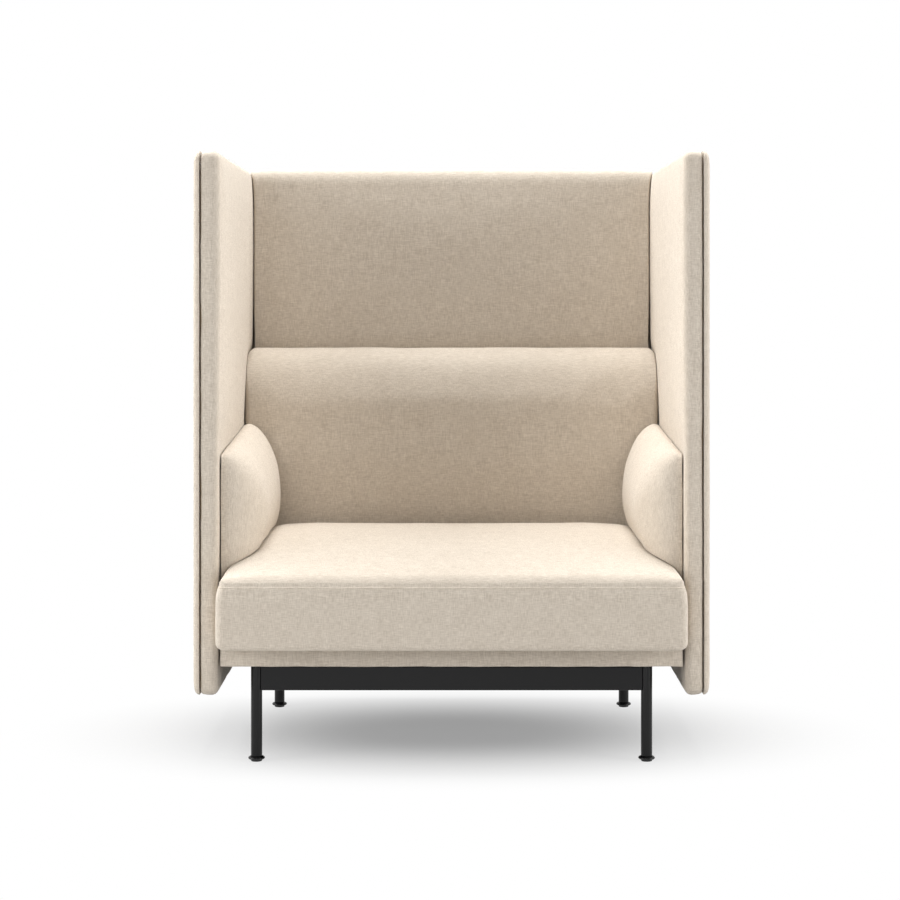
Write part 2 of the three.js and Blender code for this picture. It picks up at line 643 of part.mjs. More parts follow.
function lumbarBody() {
  const a = seatHalfWidth;
  const b = (LUMBAR_TOP - zCushions) / 2;
  const zMiddle = (LUMBAR_TOP + zCushions) / 2;
  return pad(LUMBAR_GRID_SHARES, LUMBAR_HEIGHT_SHARES, [], (s, t, h) => {
    const [u, v] = roundCorner(a * (2 * s - 1), b * (2 * t - 1), a, b, LUMBAR_CORNER);
    const z = zMiddle + v;
    const sideRoll = LUMBAR_SIDE_ROLL * (1 - swell(a - Math.abs(u), LUMBAR_SIDE_ROLL));
    const y = h === 1 ? yLumbarFace + Math.max(lumbarRoll(z), sideRoll) : yBackFace - FIT;
    return [u, y, z];
  });
}

function lumbarCushion() {
  return lumbarBody().subtract(sidePadCutter(-1)).subtract(sidePadCutter(1));
}

// A pad with a flat back on the screen and a swelling face, as thick at its edges as its seams stand off.
// Its foot is shaped by the seat cushion below.
function armPad(side) {
  const [y0, y1] = [yScreens + ARM_FRONT_SETBACK, yLumbarFace - FIT];
  const z0 = SEAT_SEAM_HEIGHT + FIT;
  const made = pad(ARM_GRID_SHARES, ARM_GRID_SHARES, [], (s, t, h) => {
    const across = side > 0 ? 1 - s : s;
    const y = y0 + (y1 - y0) * across;
    const zTop = ARM_FRONT_TOP + (ARM_REAR_TOP - ARM_FRONT_TOP) * across;
    const z = z0 + (zTop - z0) * t;
    const along = swell(y - y0, ARM_FRONT_REACH) * swell(y1 - y, ARM_REAR_REACH);
    const up = swell(z - z0, ARM_FOOT_REACH) * swell(zTop - z, ARM_TOP_REACH);
    const thick = ARM_SEAM_GAP + (ARM_SWELL - ARM_SEAM_GAP) * ridged(along, up, ARM_RIDGE_POWER);
    return [side * (xInner - FIT - h * thick), y, z];
  });
  const seat = seatCushion();
  const clear = [-FIT, FIT].flatMap((dx) => [-FIT, FIT].map((dy) => seat.translate([dx, dy, FIT])));
  return [...clear, sidePadCutter(side)].reduce((arm, cut) => arm.subtract(cut), made);
}

// The chair

const chair = new THREE.Group();

function addPiece(name, made, finish) {
  const material = new THREE.MeshStandardMaterial({ name: finish, ...FINISHES[finish] });
  const mesh = new THREE.Mesh(geometryOf(made), material);
  mesh.name = name;
  chair.add(mesh);
}

addPiece("seat_cushion", seatCushion(), "fabric");
addPiece("lower_back_cushion", lumbarCushion(), "fabric");
addPiece("back_screen_pad", backPad(), "fabric");
addPiece("back_screen_skin", backSkin(), "fabric");
addPiece("back_screen_core", backCore(), "plywood");
addPiece("base_front_rail", frontRail(), "beech");
addPiece("base_rear_rail", rearRail(), "beech");
addPiece("base_front_cover", frontCover(), "fabric");
addPiece("base_dust_cloth", dustCloth(), "dustCloth");
addPiece("front_beam", crossBeam(yFrontLegs), "powderCoat");
addPiece("rear_beam", crossBeam(yRearLegs), "powderCoat");

for (let i = 0; i < STRAP_COUNT; i++) {
  addPiece(`seat_strap_${i + 1}`, strap((i - (STRAP_COUNT - 1) / 2) * strapPitch), "webbing");
}

for (const [side, sideName] of [[-1, "left"], [1, "right"]]) {
  addPiece(`${sideName}_arm_pad`, armPad(side), "fabric");
  addPiece(`${sideName}_screen_pad`, sidePad(side), "fabric");
  addPiece(`${sideName}_screen_skin`, sideSkin(side), "fabric");
  addPiece(`${sideName}_screen_core`, sideCore(side), "plywood");
  addPiece(`base_${sideName}_rail`, sideRail(side), "beech");
  addPiece(`base_${sideName}_cover`, sideCover(side), "fabric");
  addPiece(`${sideName}_bearer`, bearer(side), "beech");
  addPiece(`${sideName}_beam`, sideBeam(side), "powderCoat");
  yScreenBolts.forEach((y, i) => {
    addPiece(`${sideName}_screen_bolt_${["front", "rear"][i]}`, screenBolt(side, y), "zinc");
  });
  cornerBoltHeights.forEach((z, i) => {
    addPiece(`${sideName}_corner_bolt_${["lower", "upper"][i]}`, cornerBolt(side, z), "zinc");
  });
  for (const [front, frontName, y] of [[1, "front", yFrontLegs], [-1, "rear", yRearLegs]]) {
    const corner = `${frontName}_${sideName}`;
    const x = side * xLeg;
    addPiece(`${corner}_leg`, leg(x, y), "powderCoat");
    addPiece(`${corner}_plate`, cornerPlate(side, front), "powderCoat");
    addPiece(`${corner}_plate_bolt`, plateBolt(side, front), "zinc");
    addPiece(`${corner}_levelling_foot`, levellingFoot(x, y), "powderCoat");
    addPiece(`${corner}_glide_pad`, glidePad(x, y), "nylon");
  }
}

export default chair;
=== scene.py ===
"""High back acoustic lounge chair: upholstery, steel underframe and finishes, made around the fixed frame.

Lengths are in metres. X runs across the chair, +Y towards its back and +Z up. Left and right are as seen
from the front. Sizes that the frame holds are read from it.
"""

import math

import bpy
import numpy as np
from bpy.props import FloatProperty, FloatVectorProperty, PointerProperty
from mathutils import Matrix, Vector


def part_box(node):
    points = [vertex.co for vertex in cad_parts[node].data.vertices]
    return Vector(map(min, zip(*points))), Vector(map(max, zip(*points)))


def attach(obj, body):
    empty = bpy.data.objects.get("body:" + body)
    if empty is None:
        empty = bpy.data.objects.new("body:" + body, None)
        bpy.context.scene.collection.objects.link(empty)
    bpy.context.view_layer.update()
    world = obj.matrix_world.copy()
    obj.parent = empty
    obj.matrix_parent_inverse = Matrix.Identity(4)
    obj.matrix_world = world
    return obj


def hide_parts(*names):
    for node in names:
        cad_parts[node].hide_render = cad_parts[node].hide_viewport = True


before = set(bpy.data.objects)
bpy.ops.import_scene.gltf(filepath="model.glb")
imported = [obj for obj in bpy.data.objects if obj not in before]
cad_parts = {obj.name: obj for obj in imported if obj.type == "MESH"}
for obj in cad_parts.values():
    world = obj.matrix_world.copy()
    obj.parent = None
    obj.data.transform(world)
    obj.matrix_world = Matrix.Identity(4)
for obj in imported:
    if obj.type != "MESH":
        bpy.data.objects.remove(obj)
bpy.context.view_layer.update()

bl_info = {
    "name": "High Back Lounge Chair",
    "version": (1, 0, 0),
    "blender": (4, 5, 0),
    "location": "3D View > Sidebar > Lounge Chair",
    "description": "Upholstery, steel underframe and finishes of a high back acoustic lounge chair",
    "category": "Add Mesh",
}

MM = 0.001
ROOT = "chair"
SIDES = (("left", -1), ("right", 1))
CORNERS = tuple(f"{end}_{side}" for side, _ in SIDES for end in ("front", "rear"))
BACK, WALL, FRONT = range(3)  # the two sheets of a closed pad, and the wall that joins them
SHARP_EDGE = math.radians(40)  # steel edges that turn by more than this are shaded sharp
SHARP_FOLD = math.radians(60)


def linear(hex_colour):
    """An sRGB colour written as 0xRRGGBB, as linear values from 0 to 1."""
    channels = [(hex_colour >> shift & 255) / 255 for shift in (16, 8, 0)]
    return tuple(c / 12.92 if c <= 0.04045 else ((c + 0.055) / 1.055) ** 2.4 for c in channels)


# Sizes and colours that a user would change


def length(name, description, default):
    return FloatProperty(name=name, description=description, default=default, min=0, unit="LENGTH")


def ratio(name, description, default):
    return FloatProperty(name=name, description=description, default=default, min=0)


def colour(name, description, hex_colour):
    return FloatVectorProperty(
        name=name, description=description, default=linear(hex_colour), subtype="COLOR", min=0, max=1
    )


def power(name, description, default):
    return FloatProperty(name=name, description=description, default=default, min=0, unit="POWER")


class ScreenSizes(bpy.types.PropertyGroup):
    pad_thick: length("Side pad", "Thickness of the side screens' inner pads", 32 * MM)
    pad_edge: length("Pad edge", "Radius of the side pads' inner edges", 12 * MM)
    back_edge: length("Back edge", "Height of the back pad's rounded top and bottom edges", 34 * MM)
    back_edge_share: ratio("Back edge share", "Depth of those edges, as a share of their height", 0.55)
    back_side_edge: length("Back side edge", "Radius of the back pad's upright edges", 5 * MM)
    skin_edge: length("Skin edge", "Radius of the outer skins' edges", 11 * MM)
    skin_taper: length("Skin taper", "How far the outer skins pull in at their top and bottom", 2 * MM)
    skin_inset: length("Skin inset", "How far the outer skins stop short of the pads' rims", 0.2 * MM)
    groove_edge: length("Groove edge", "Radius at the groove between skin and pad", 1 * MM)
    lean: length("Lean", "How far a side pad's edge band leans back towards the groove", 4.5 * MM)
    corner: length("Corner", "Radius of the screens' corners", 18 * MM)
    proud: length("Proud", "How far the padding stands proud of the frame's outline", 1.4 * MM)
    stand_out: length("Stand-out", "How far the groove and the outer skins stand out sideways", 1.2 * MM)
    crown: length("Crown", "How far a side pad swells towards the seat", 8.5 * MM)
    back_rise: length("Back rise", "How far the back pad's top edge swells up between its corners", 4 * MM)
    back_sink: length("Back sink", "How far the back pad falls back behind the lower cushion", 11 * MM)


class SeatSizes(bpy.types.PropertyGroup):
    seam_height: length("Seam height", "Height of the top seam above the floor", 354 * MM)
    draw_in: length("Draw-in", "How far the seams pull in from the swelling sides", 6 * MM)
    foot_round: length("Foot", "Radius of the cushion's lower edge", 14 * MM)
    end_share: ratio("End share", "Share of the sides' draw-in and foot that the ends have", 0.4)
    top_round: length("Top round", "Radius of the roll above the top seam", 15 * MM)
    corner: length("Corner", "Radius of the cushion's corners in plan", 17 * MM)
    front_reach: length("Front reach", "Distance over which the crown builds up from the front", 420 * MM)
    side_reach: length("Side reach", "Width over which the arm pads press the crown down", 115 * MM)
    back_reach: length("Back reach", "Distance over which the crown drops to the back", 35 * MM)
    welt: length("Welt", "Radius of the felled seam round the top", 1.2 * MM)


class BackSizes(bpy.types.PropertyGroup):
    roll_drop: length("Roll drop", "Height over which the face rolls back to the top", 130 * MM)
    roll_back: length("Roll back", "How far the top lies behind the face", 84 * MM)
    side_roll: length("Side roll", "Radius of the face's sides", 14 * MM)
    top_corner: length("Top corner", "Radius of the top edge's two corners", 13 * MM)
    settle: length("Settle", "How far the top edge settles below the frame's solid", 2 * MM)
    squeeze: length("Squeeze", "How far the cushion presses each side pad flat", 5 * MM)
    rear_edge: length("Rear edge", "Radius of the rear edge", 9 * MM)
    undercut: length("Undercut", "How far the face turns under towards the seat", 9 * MM)
    under_reach: length("Undercut reach", "Height above the seat over which the face turns under", 160 * MM)


class ArmSizes(bpy.types.PropertyGroup):
    swell: length("Swell", "Greatest thickness of an arm pad", 86 * MM)
    front_top: length("Front height", "Height of the top seam at the front", 599 * MM)
    rear_top: length("Rear height", "Height of the top seam at the rear", 629 * MM)
    front_reach: length("Front reach", "Distance over which the swell builds up from the front", 150 * MM)
    top_reach: length("Top reach", "Distance over which the swell builds up from the top", 140 * MM)
    foot_reach: length("Foot reach", "Distance over which the swell builds up from the foot", 135 * MM)
    rear_reach: length("Rear reach", "Distance over which the swell drops at the rear", 60 * MM)
    puff: length("Puff", "How far the pad swells up above its top seam", 7 * MM)
    seam_gap: length("Seam gap", "How far the front and top seams stand off the screen", 2.3 * MM)


class SteelSizes(bpy.types.PropertyGroup):
    wall: length("Tube wall", "Wall of the tubes", 2 * MM)
    tube_corner: length("Tube corner", "Outer corner radius of the rectangular tubes", 3 * MM)
    edge: length("Edge break", "Radius of broken edges", 0.6 * MM)
    plug: length("Plug", "Length of the threaded plug in a leg", 26 * MM)
    hole: length("Thread hole", "Radius of the hole in the plug", 4.5 * MM)
    stud: length("Stud", "Radius of the levelling foot's stud", 4 * MM)
    flange_height: length("Flange height", "Top of the levelling foot's flange", 10 * MM)


class ChairColours(bpy.types.PropertyGroup):
    light_yarn: colour("Light yarn", "Lighter yarn of the woven cover", 0xDAD0C2)
    dark_yarn: colour("Dark yarn", "Darker yarn of the woven cover", 0xBCB0A1)
    coat: colour("Powder coat", "Satin black of the steel", 0x101011)
    nylon: colour("Nylon", "Moulded glides", 0x131313)
    birch: colour("Birch", "Plywood of the screens' cores", 0xCFAF80)
    beech: colour("Beech", "Timber of the seat base", 0xCFAA7B)
    webbing: colour("Webbing", "Elastic seat webbing", 0x3A3A3C)
    dust_cloth: colour("Dust cloth", "Non-woven cloth under the seat", 0x19191B)
    zinc: colour("Zinc", "Bright zinc plate of the fasteners", 0xB4B8BC)


class StageSettings(bpy.types.PropertyGroup):
    floor: colour("Floor", "Plain pale floor", 0xB3B3B3)
    ambient: ratio("Ambient", "Even light from all round", 0.18)
    left_low: power("Left softbox", "Power of the softbox on the left, in front", 75)
    left_high: power("Upper left softbox", "Power of the softbox high on the left", 80)
    right_low: power("Right softbox", "Power of the softbox on the right, in front", 71)
    right_high: power("Upper right softbox", "Power of the softbox high on the right", 53)
    top: power("Top softbox", "Power of the softbox overhead", 140)
    front: power("Front softbox", "Power of the softbox in front, beside the camera", 22)


GROUPS = {
    "chair_screens": ScreenSizes,
    "chair_seat": SeatSizes,
    "chair_back": BackSizes,
    "chair_arms": ArmSizes,
    "chair_steel": SteelSizes,
    "chair_colours": ChairColours,
    "chair_stage": StageSettings,
}


# Places that several pieces share, from the frame


def low_of(node):
    return np.array(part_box(node)[0])


def high_of(node):
    return np.array(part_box(node)[1])


FIT = 0.3 * MM  # gap that pieces in touch keep
SKIN_LOW, SKIN_HIGH = low_of("left_screen_skin"), high_of("left_screen_skin")
BACK_PAD_LOW, BACK_PAD_HIGH = low_of("back_screen_pad"), high_of("back_screen_pad")
SEAT_LOW, SEAT_HIGH = low_of("seat_cushion"), high_of("seat_cushion")
LUMBAR_LOW, LUMBAR_HIGH = low_of("lower_back_cushion"), high_of("lower_back_cushion")
ARM_LOW, ARM_HIGH = low_of("left_arm_pad"), high_of("left_arm_pad")
SCREEN_MIDDLE = (SKIN_LOW + SKIN_HIGH) / 2
SCREEN_HALF = (SKIN_HIGH - SKIN_LOW) / 2
X_PAD_BACK = -low_of("left_screen_pad")[0]  # from the middle of the chair to the side pads' backs
CROWN_TOP_REACH = 100 * MM  # a side pad's crown builds up over these distances from its edges
CROWN_FOOT_REACH = 480 * MM
CROWN_FRONT_REACH = 90 * MM
CROWN_REAR_REACH = 50 * MM
CROWN_SOFTEN = 30 * MM  # the lower back cushion's edge shows in the side pads over this distance
BACK_SINK_REACH = 300 * MM  # the back pad falls back over this height
SEAT_START_SHARE = 0.02  # share of the seat crown's steep start that is cut off
ARM_RIDGE_POWER = 2.4  # more makes the ridges of an arm pad sharper

# Grids of the pads' sheets: the steps in the middle and near the edges, and the width of those bands
PAD_GRID = (14 * MM, 4 * MM, 40 * MM)
SKIN_GRID = (24 * MM, 4 * MM, 20 * MM)

# Unevenness of the covers: how high its waves are, and the shortest and the longest of them
SIDE_FACE_WAVES = (0.25 * MM, 90 * MM, 260 * MM)
SIDE_RIM_PUCKERS = (0.4 * MM, 35 * MM, 90 * MM)
BACK_PAD_WAVES = (0.3 * MM, 60 * MM, 240 * MM)
SKIN_WAVES = (0.2 * MM, 60 * MM, 260 * MM)
SEAT_SEAM_PUCKERS = (0.3 * MM, 16 * MM, 40 * MM)
SEAT_TOP_WAVES = (0.5 * MM, 90 * MM, 300 * MM)
LUMBAR_WAVES = (0.5 * MM, 80 * MM, 300 * MM)
ARM_WAVES = (0.5 * MM, 50 * MM, 160 * MM)
BASE_COVER_WAVES = (0.35 * MM, 30 * MM, 120 * MM)
DUST_CLOTH_WAVES = (0.7 * MM, 120 * MM, 400 * MM)


# Curves and grids


def swell(distance, reach, start_share=0):
    """Rises from 0 at an edge to 1 at the given reach from it, as a quarter of an ellipse.

    start_share is the share of it that is cut off at its steep start.
    """
    share = start_share + (1 - start_share) * np.clip(distance / reach, 0, 1)
    start = math.sqrt(1 - (1 - start_share) ** 2)
    return (np.sqrt(1 - (1 - share) ** 2) - start) / (1 - start)


def ridged(a, b, power):
    """Joins two swells from 0 to 1, with a ridge where they meet."""
    return np.maximum(1 - ((1 - a) ** power + (1 - b) ** power) ** (1 / power), 0)


def ease(distance, reach):
    """Eases from 0 at an edge to 1 at the given reach from it, level at both ends."""
    share = np.clip(distance / reach, 0, 1)
    return share * share * (3 - 2 * share)


def near(distance, full, fade):
    """1 up to the full distance from a seam, and easing to 0 over the fade beyond it."""
    return 1 - ease(distance - full, fade)


def graded(size, step, fine_step, edge):
    """Places from -1 to 1 across a size, a fine step apart within the edge distance of both ends."""
    start = np.linspace(0, edge, round(edge / fine_step), endpoint=False)
    middle = np.linspace(edge, size - edge, round((size - 2 * edge) / step) + 1)
    return np.concatenate([start, middle, size - start[::-1]]) / size * 2 - 1


def bunched(count):
    """Places from -1 to 1, closer together towards both ends."""
    return -np.cos(np.linspace(0, math.pi, count + 1))


def round_corners(u, v, a, b, radius):
    """Bends the corner squares of a rectangle with half sizes a and b into quarter rounds."""
    over_u = np.abs(u) - (a - radius)
    over_v = np.abs(v) - (b - radius)
    pull = np.maximum(over_u, over_v) / np.hypot(np.maximum(over_u, FIT), np.maximum(over_v, FIT))
    pull = np.where((over_u > 0) & (over_v > 0), np.minimum(pull, 1), 1)
    bent_u = np.where(over_u > 0, np.sign(u) * (a - radius + over_u * pull), u)
    bent_v = np.where(over_v > 0, np.sign(v) * (b - radius + over_v * pull), v)
    return bent_u, bent_v


def arc(steps):
    """Sines and cosines from 0 to a quarter turn."""
    turn = np.linspace(0, math.pi / 2, steps + 1)
    return np.sin(turn), np.cos(turn)


def wall_profile(thick, back_edge, front_edge, middle_depths=(), front_share=1, lean=lambda depth: 0):
    """(inset, depth) pairs from the back sheet's rim to the front sheet's, with both edges rounded.

    front_share makes the front edge less deep than it is high. lean gives a further inset at a depth.
    """
    pairs = [(back_edge * (1 - sine), back_edge * (1 - cosine)) for sine, cosine in zip(*arc(4))]
    pairs += [(0, depth) for depth in middle_depths]
    for sine, cosine in zip(*arc(6)):
        pairs.append((front_edge * (1 - cosine), thick - front_edge * front_share * (1 - sine)))
    return [(inset + lean(depth), depth) for inset, depth in pairs]


def curved_corner(before, here, after, reach, count):
    """Points of a short curve in place of a corner, which starts and ends at a reach from it."""
    start = here + (before - here) / np.linalg.norm(before - here) * reach
    end = here + (after - here) / np.linalg.norm(after - here) * reach
    return [(1 - t) ** 2 * start + 2 * t * (1 - t) * here + t * t * end for t in np.linspace(0, 1, count)]


def ripple(points, waves, seed, share=1):
    """Smooth unevenness of a cover: waves of seeded directions and lengths.

    waves holds how high they are, and the shortest and the longest. share is how much of it each point has.
    """
    height, shortest, longest = waves
    count = 10
    random = np.random.RandomState(seed)
    total = np.zeros(len(points))
    for _ in range(count):
        way = random.normal(size=3)
        wave_number = 2 * math.pi / random.uniform(shortest, longest)
        total += np.sin(wave_number * points @ (way / np.linalg.norm(way)) + random.uniform(0, 2 * math.pi))
    return height * share * (total / math.sqrt(count))


# Meshes


def new_piece(name, points, faces, material, sharp_angle=None):
    """A mesh object in the frame's own place, with its faces turned outwards and shaded smooth."""
    mesh = bpy.data.meshes.new(name)
    mesh.from_pydata(np.asarray(points).tolist(), [], [list(map(int, face)) for face in faces])
    volume = sum(
        mesh.vertices[f[0]].co.dot(mesh.vertices[f[i]].co.cross(mesh.vertices[f[i + 1]].co))
        for f in (list(p.vertices) for p in mesh.polygons)
        for i in range(1, len(f) - 1)
    )
    if volume < 0:
        mesh.flip_normals()
    mesh.shade_smooth()
    if sharp_angle:
        mesh.set_sharp_from_angle(angle=sharp_angle)
    mesh.materials.append(material)
    piece = bpy.data.objects.new(name, mesh)
    bpy.context.scene.collection.objects.link(piece)
    return piece


def closed_pad(name, us, vs, profile, place, material):
    """A closed pad: a back and a front sheet over one grid, joined round the rim by a wall.

    us and vs run from -1 to 1. profile lists (inset, depth) from the back rim to the front rim.
    place(su, sv, inset, depth, sheet) gives points; sheet is BACK, WALL or FRONT.
    """
    sheet_u, sheet_v = (grid.ravel() for grid in np.meshgrid(us, vs, indexing="ij"))
    ids = np.arange(len(sheet_u)).reshape(len(us), len(vs))
    rim = np.concatenate([ids[:-1, 0], ids[-1, :-1], ids[:0:-1, -1], ids[0, :0:-1]])
    back = place(sheet_u, sheet_v, *profile[0], BACK)
    front = place(sheet_u, sheet_v, *profile[-1], FRONT)
    rings = [place(sheet_u[rim], sheet_v[rim], *pair, WALL) for pair in profile[1:-1]]
    count = ids.size
    loops = [rim]
    loops += [2 * count + k * len(rim) + np.arange(len(rim)) for k in range(len(rings))]
    loops.append(rim + count)
    sheet = np.stack([ids[:-1, :-1], ids[1:, :-1], ids[1:, 1:], ids[:-1, 1:]], -1).reshape(-1, 4)
    faces = [sheet[:, ::-1], sheet + count]
    for lower, upper in zip(loops, loops[1:]):
        faces.append(np.stack([lower, np.roll(lower, -1), np.roll(upper, -1), upper], -1))
    return new_piece(name, np.concatenate([back, front, *rings]), np.concatenate(faces), material)


def points_of(mesh):
    co = np.empty(len(mesh.vertices) * 3)
    mesh.vertices.foreach_get("co", co)
    return co.reshape(-1, 3)


def push_out(piece, amount):
    """Moves each vertex along its normal by the amount that its place gives."""
    mesh = piece.data
    points = points_of(mesh)
    normals = np.empty(len(mesh.vertices) * 3)
    mesh.vertex_normals.foreach_get("vector", normals)
    moved = points + normals.reshape(-1, 3) * amount(points)[:, None]
    mesh.vertices.foreach_set("co", moved.ravel())
    mesh.update()


SETTLE_FRAMES = 20
COVER_EASE = 0.001  # the cover is cut this share narrower than it lies, so that it stays taut
COVER_SWELL = 3 * MM  # how far the stuffing pushes a cover out at most
COVER_CLOTH = {
    "quality": 4,
    "mass": 0.3,
    "tension_stiffness": 25,
    "compression_stiffness": 25,
    "shear_stiffness": 8,
    "bending_stiffness": 2,
}


def inflate(piece, hold, pressure):
    """Lets a cover swell under its stuffing, as simulated cloth. hold gives 1 where the cover is held."""
    mesh = piece.data
    before = points_of(mesh)
    held = hold(before)
    group = piece.vertex_groups.new(name="held")
    group.add(np.flatnonzero(held >= 1).tolist(), 1.0, "REPLACE")
    cloth = piece.modifiers.new("cover", "CLOTH")
    for name, value in COVER_CLOTH.items():
        setattr(cloth.settings, name, value)
    cloth.settings.shrink_min = COVER_EASE
    cloth.settings.vertex_group_mass = group.name
    cloth.settings.use_pressure = True
    cloth.settings.uniform_pressure_force = pressure
    cloth.settings.effector_weights.gravity = 0
    cloth.collision_settings.use_collision = False
    cloth.point_cache.frame_start = 1
    cloth.point_cache.frame_end = SETTLE_FRAMES
    for step in range(1, SETTLE_FRAMES + 1):
        bpy.context.scene.frame_set(step)
    evaluated = piece.evaluated_get(bpy.context.evaluated_depsgraph_get())
    move = (points_of(evaluated.data) - before) * (1 - np.clip(held, 0, 1))[:, None]
    size = np.linalg.norm(move, axis=1, keepdims=True)
    least = 0.0001 * MM  # keeps the next line from dividing by zero
    moved = before + move * np.minimum(1, COVER_SWELL / np.maximum(size, least))
    piece.modifiers.remove(cloth)
    piece.vertex_groups.remove(group)
    bpy.context.scene.frame_set(1)
    mesh.vertices.foreach_set("co", moved.ravel())
    mesh.update()


def subdivide(piece):
    """Rounds the mesh once more when it is shown."""
    modifier = piece.modifiers.new("smooth", "SUBSURF")
    modifier.levels = 1
    modifier.render_levels = 1


def dress(piece, node, body=ROOT):
    """The piece stands for a node of the frame, whose solid it hides, and rides on a body."""
    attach(piece, body)
    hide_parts(node)


def turned(name, profile, place, material, closed_loop=False):
    """A turned piece. profile holds (radius, height) points; a radius of 0 closes it on the axis."""
    sides = 72
    turns = np.linspace(0, 2 * math.pi, sides, endpoint=False)
    points, rows = [], []
    for radius, height in profile:
        start = len(points)
        if radius == 0:
            points.append((place[0], place[1], place[2] + height))
            rows.append([start] * sides)
        else:
            points += [
                (place[0] + radius * math.cos(t), place[1] + radius * math.sin(t), place[2] + height)
                for t in turns
            ]
            rows.append(list(range(start, start + sides)))
    faces = []
    pairs = list(zip(rows, rows[1:])) + ([(rows[-1], rows[0])] if closed_loop else [])
    for lower, upper in pairs:
        for i in range(sides):
            j = (i + 1) % sides
            face = [lower[i], lower[j], upper[j], upper[i]]
            faces.append(list(dict.fromkeys(face)))
    return new_piece(name, points, faces, material, SHARP_EDGE)


def broken_edge(profile, radius):
    """Rounds the corners of an outline: each point that isn't on the axis becomes a short curve."""
    corners = np.array(profile, float)
    rounded = []
    for before, here, after in zip(np.roll(corners, 1, 0), corners, np.roll(corners, -1, 0)):
        if here[0] == 0:
            rounded.append(tuple(here))
            continue
        shortest = min(np.linalg.norm(before - here), np.linalg.norm(after - here))
        reach = min(radius, shortest / 2.2)  # leaves something straight between two corners
        rounded += [tuple(point) for point in curved_corner(before, here, after, reach, 4)]
    return rounded


# Materials

# Kinds of node
MATH = "ShaderNodeMath"
VECTOR_MATH = "ShaderNodeVectorMath"
NOISE = "ShaderNodeTexNoise"
MAP_RANGE = "ShaderNodeMapRange"
MIX = "ShaderNodeMix"
BUMP = "ShaderNodeBump"

# Sockets of a mix node that blends colours
MIX_FIRST, MIX_SECOND, MIX_RESULT = 6, 7, 2


def feed(node, links):
    """Sets inputs of a node, each to a value or to the output that feeds it."""
    for socket, source in links.items():
        if isinstance(source, bpy.types.NodeSocket):
            node.id_data.links.new(source, node.inputs[socket])
        else:
            node.inputs[socket].default_value = source


def add_node(tree, kind, links=None, **settings):
    """Adds a node with its settings and feeds its inputs."""
    node = tree.nodes.new(kind)
    for name, value in settings.items():
        setattr(node, name, value)
    feed(node, links or {})
    return node


def new_finish(name, build):
    """The material of that name, built the first time that it is asked for."""
    found = bpy.data.materials.get(name)
    if found:
        return found
    material = bpy.data.materials.new(name)
    material.use_nodes = True
    tree = material.node_tree
    place = add_node(tree, "ShaderNodeTexCoord").outputs["Object"]
    build(tree, tree.nodes["Principled BSDF"], place)
    return material


def colours():
    return bpy.context.scene.chair_colours


def opaque(rgb):
    return (*rgb, 1)


def woven_cover(tree, surface, place):
    """Woven wool blend in two close beiges. The eye sees short slubs along both threads, a soft mottle, a
    matt face with a little fuzz, and at arm's length the weave."""
    slub_length, slub_width = 13 * MM, 1.5 * MM
    thread_pitch = 3 * MM  # the real 1.2 mm is too fine to show, so it is drawn this coarse
    mottle_size = 26 * MM
    slub_contrast, weave_height = 1.2, 0.12
    one, half = (1, 1, 1), (0.5, 0.5, 0.5)
    normal = add_node(tree, "ShaderNodeNewGeometry").outputs["Normal"]
    facing = add_node(tree, VECTOR_MATH, {0: normal, 1: normal}, operation="MULTIPLY").outputs[0]
    across = add_node(tree, VECTOR_MATH, {0: one, 1: facing}, operation="SUBTRACT").outputs[0]
    slubs = add_node(tree, "ShaderNodeCombineXYZ")
    for axis in range(3):
        scale = [1 / slub_length if i == axis else 1 / slub_width for i in range(3)]
        stretched = add_node(tree, VECTOR_MATH, {0: place, 1: scale}, operation="MULTIPLY").outputs[0]
        noise = add_node(tree, NOISE, {"Vector": stretched, "Scale": 1, "Detail": 1.5})
        feed(slubs, {axis: noise.outputs["Fac"]})
    level = add_node(tree, VECTOR_MATH, {0: slubs.outputs[0], 1: half}, operation="SUBTRACT").outputs[0]
    threads = add_node(tree, VECTOR_MATH, {0: level, 1: across}, operation="DOT_PRODUCT").outputs["Value"]
    waves = add_node(tree, VECTOR_MATH, {0: place, "Scale": 2 * math.pi / thread_pitch}, operation="SCALE")
    sines = add_node(tree, VECTOR_MATH, {0: waves.outputs[0]}, operation="SINE")
    parts = add_node(tree, "ShaderNodeSeparateXYZ", {0: sines.outputs[0]}).outputs
    crossings = add_node(tree, "ShaderNodeCombineXYZ")
    for axis in range(3):
        others = [parts[i] for i in range(3) if i != axis]
        product = add_node(tree, MATH, {0: others[0], 1: others[1]}, operation="MULTIPLY")
        feed(crossings, {axis: product.outputs[0]})
    weave = add_node(tree, VECTOR_MATH, {0: crossings.outputs[0], 1: facing}, operation="DOT_PRODUCT")
    height = add_node(
        tree, MATH, {0: weave.outputs["Value"], 1: weave_height, 2: threads}, operation="MULTIPLY_ADD"
    )
    bump = add_node(tree, BUMP, {"Height": height.outputs[0], "Strength": 0.35, "Distance": 0.8 * MM})
    mottle = add_node(tree, NOISE, {"Vector": place, "Scale": 1 / mottle_size, "Detail": 2}).outputs["Fac"]
    patches = add_node(tree, MAP_RANGE, {"Value": mottle, "To Min": 0.35, "To Max": 0.65}).outputs[0]
    shade = add_node(tree, MATH, {0: threads, 1: slub_contrast, 2: patches}, operation="MULTIPLY_ADD")
    share = add_node(tree, MAP_RANGE, {"Value": shade.outputs[0], "From Min": 0.1, "From Max": 0.9})
    yarns = {
        "Factor": share.outputs[0],
        MIX_FIRST: opaque(colours().dark_yarn),
        MIX_SECOND: opaque(colours().light_yarn),
    }
    feed(surface, {
        "Base Color": add_node(tree, MIX, yarns, data_type="RGBA").outputs[MIX_RESULT],
        "Normal": bump.outputs[0],
        "Roughness": 0.92,
        "Specular IOR Level": 0.25,
        "Sheen Weight": 0.15,
        "Sheen Roughness": 0.5,
    })


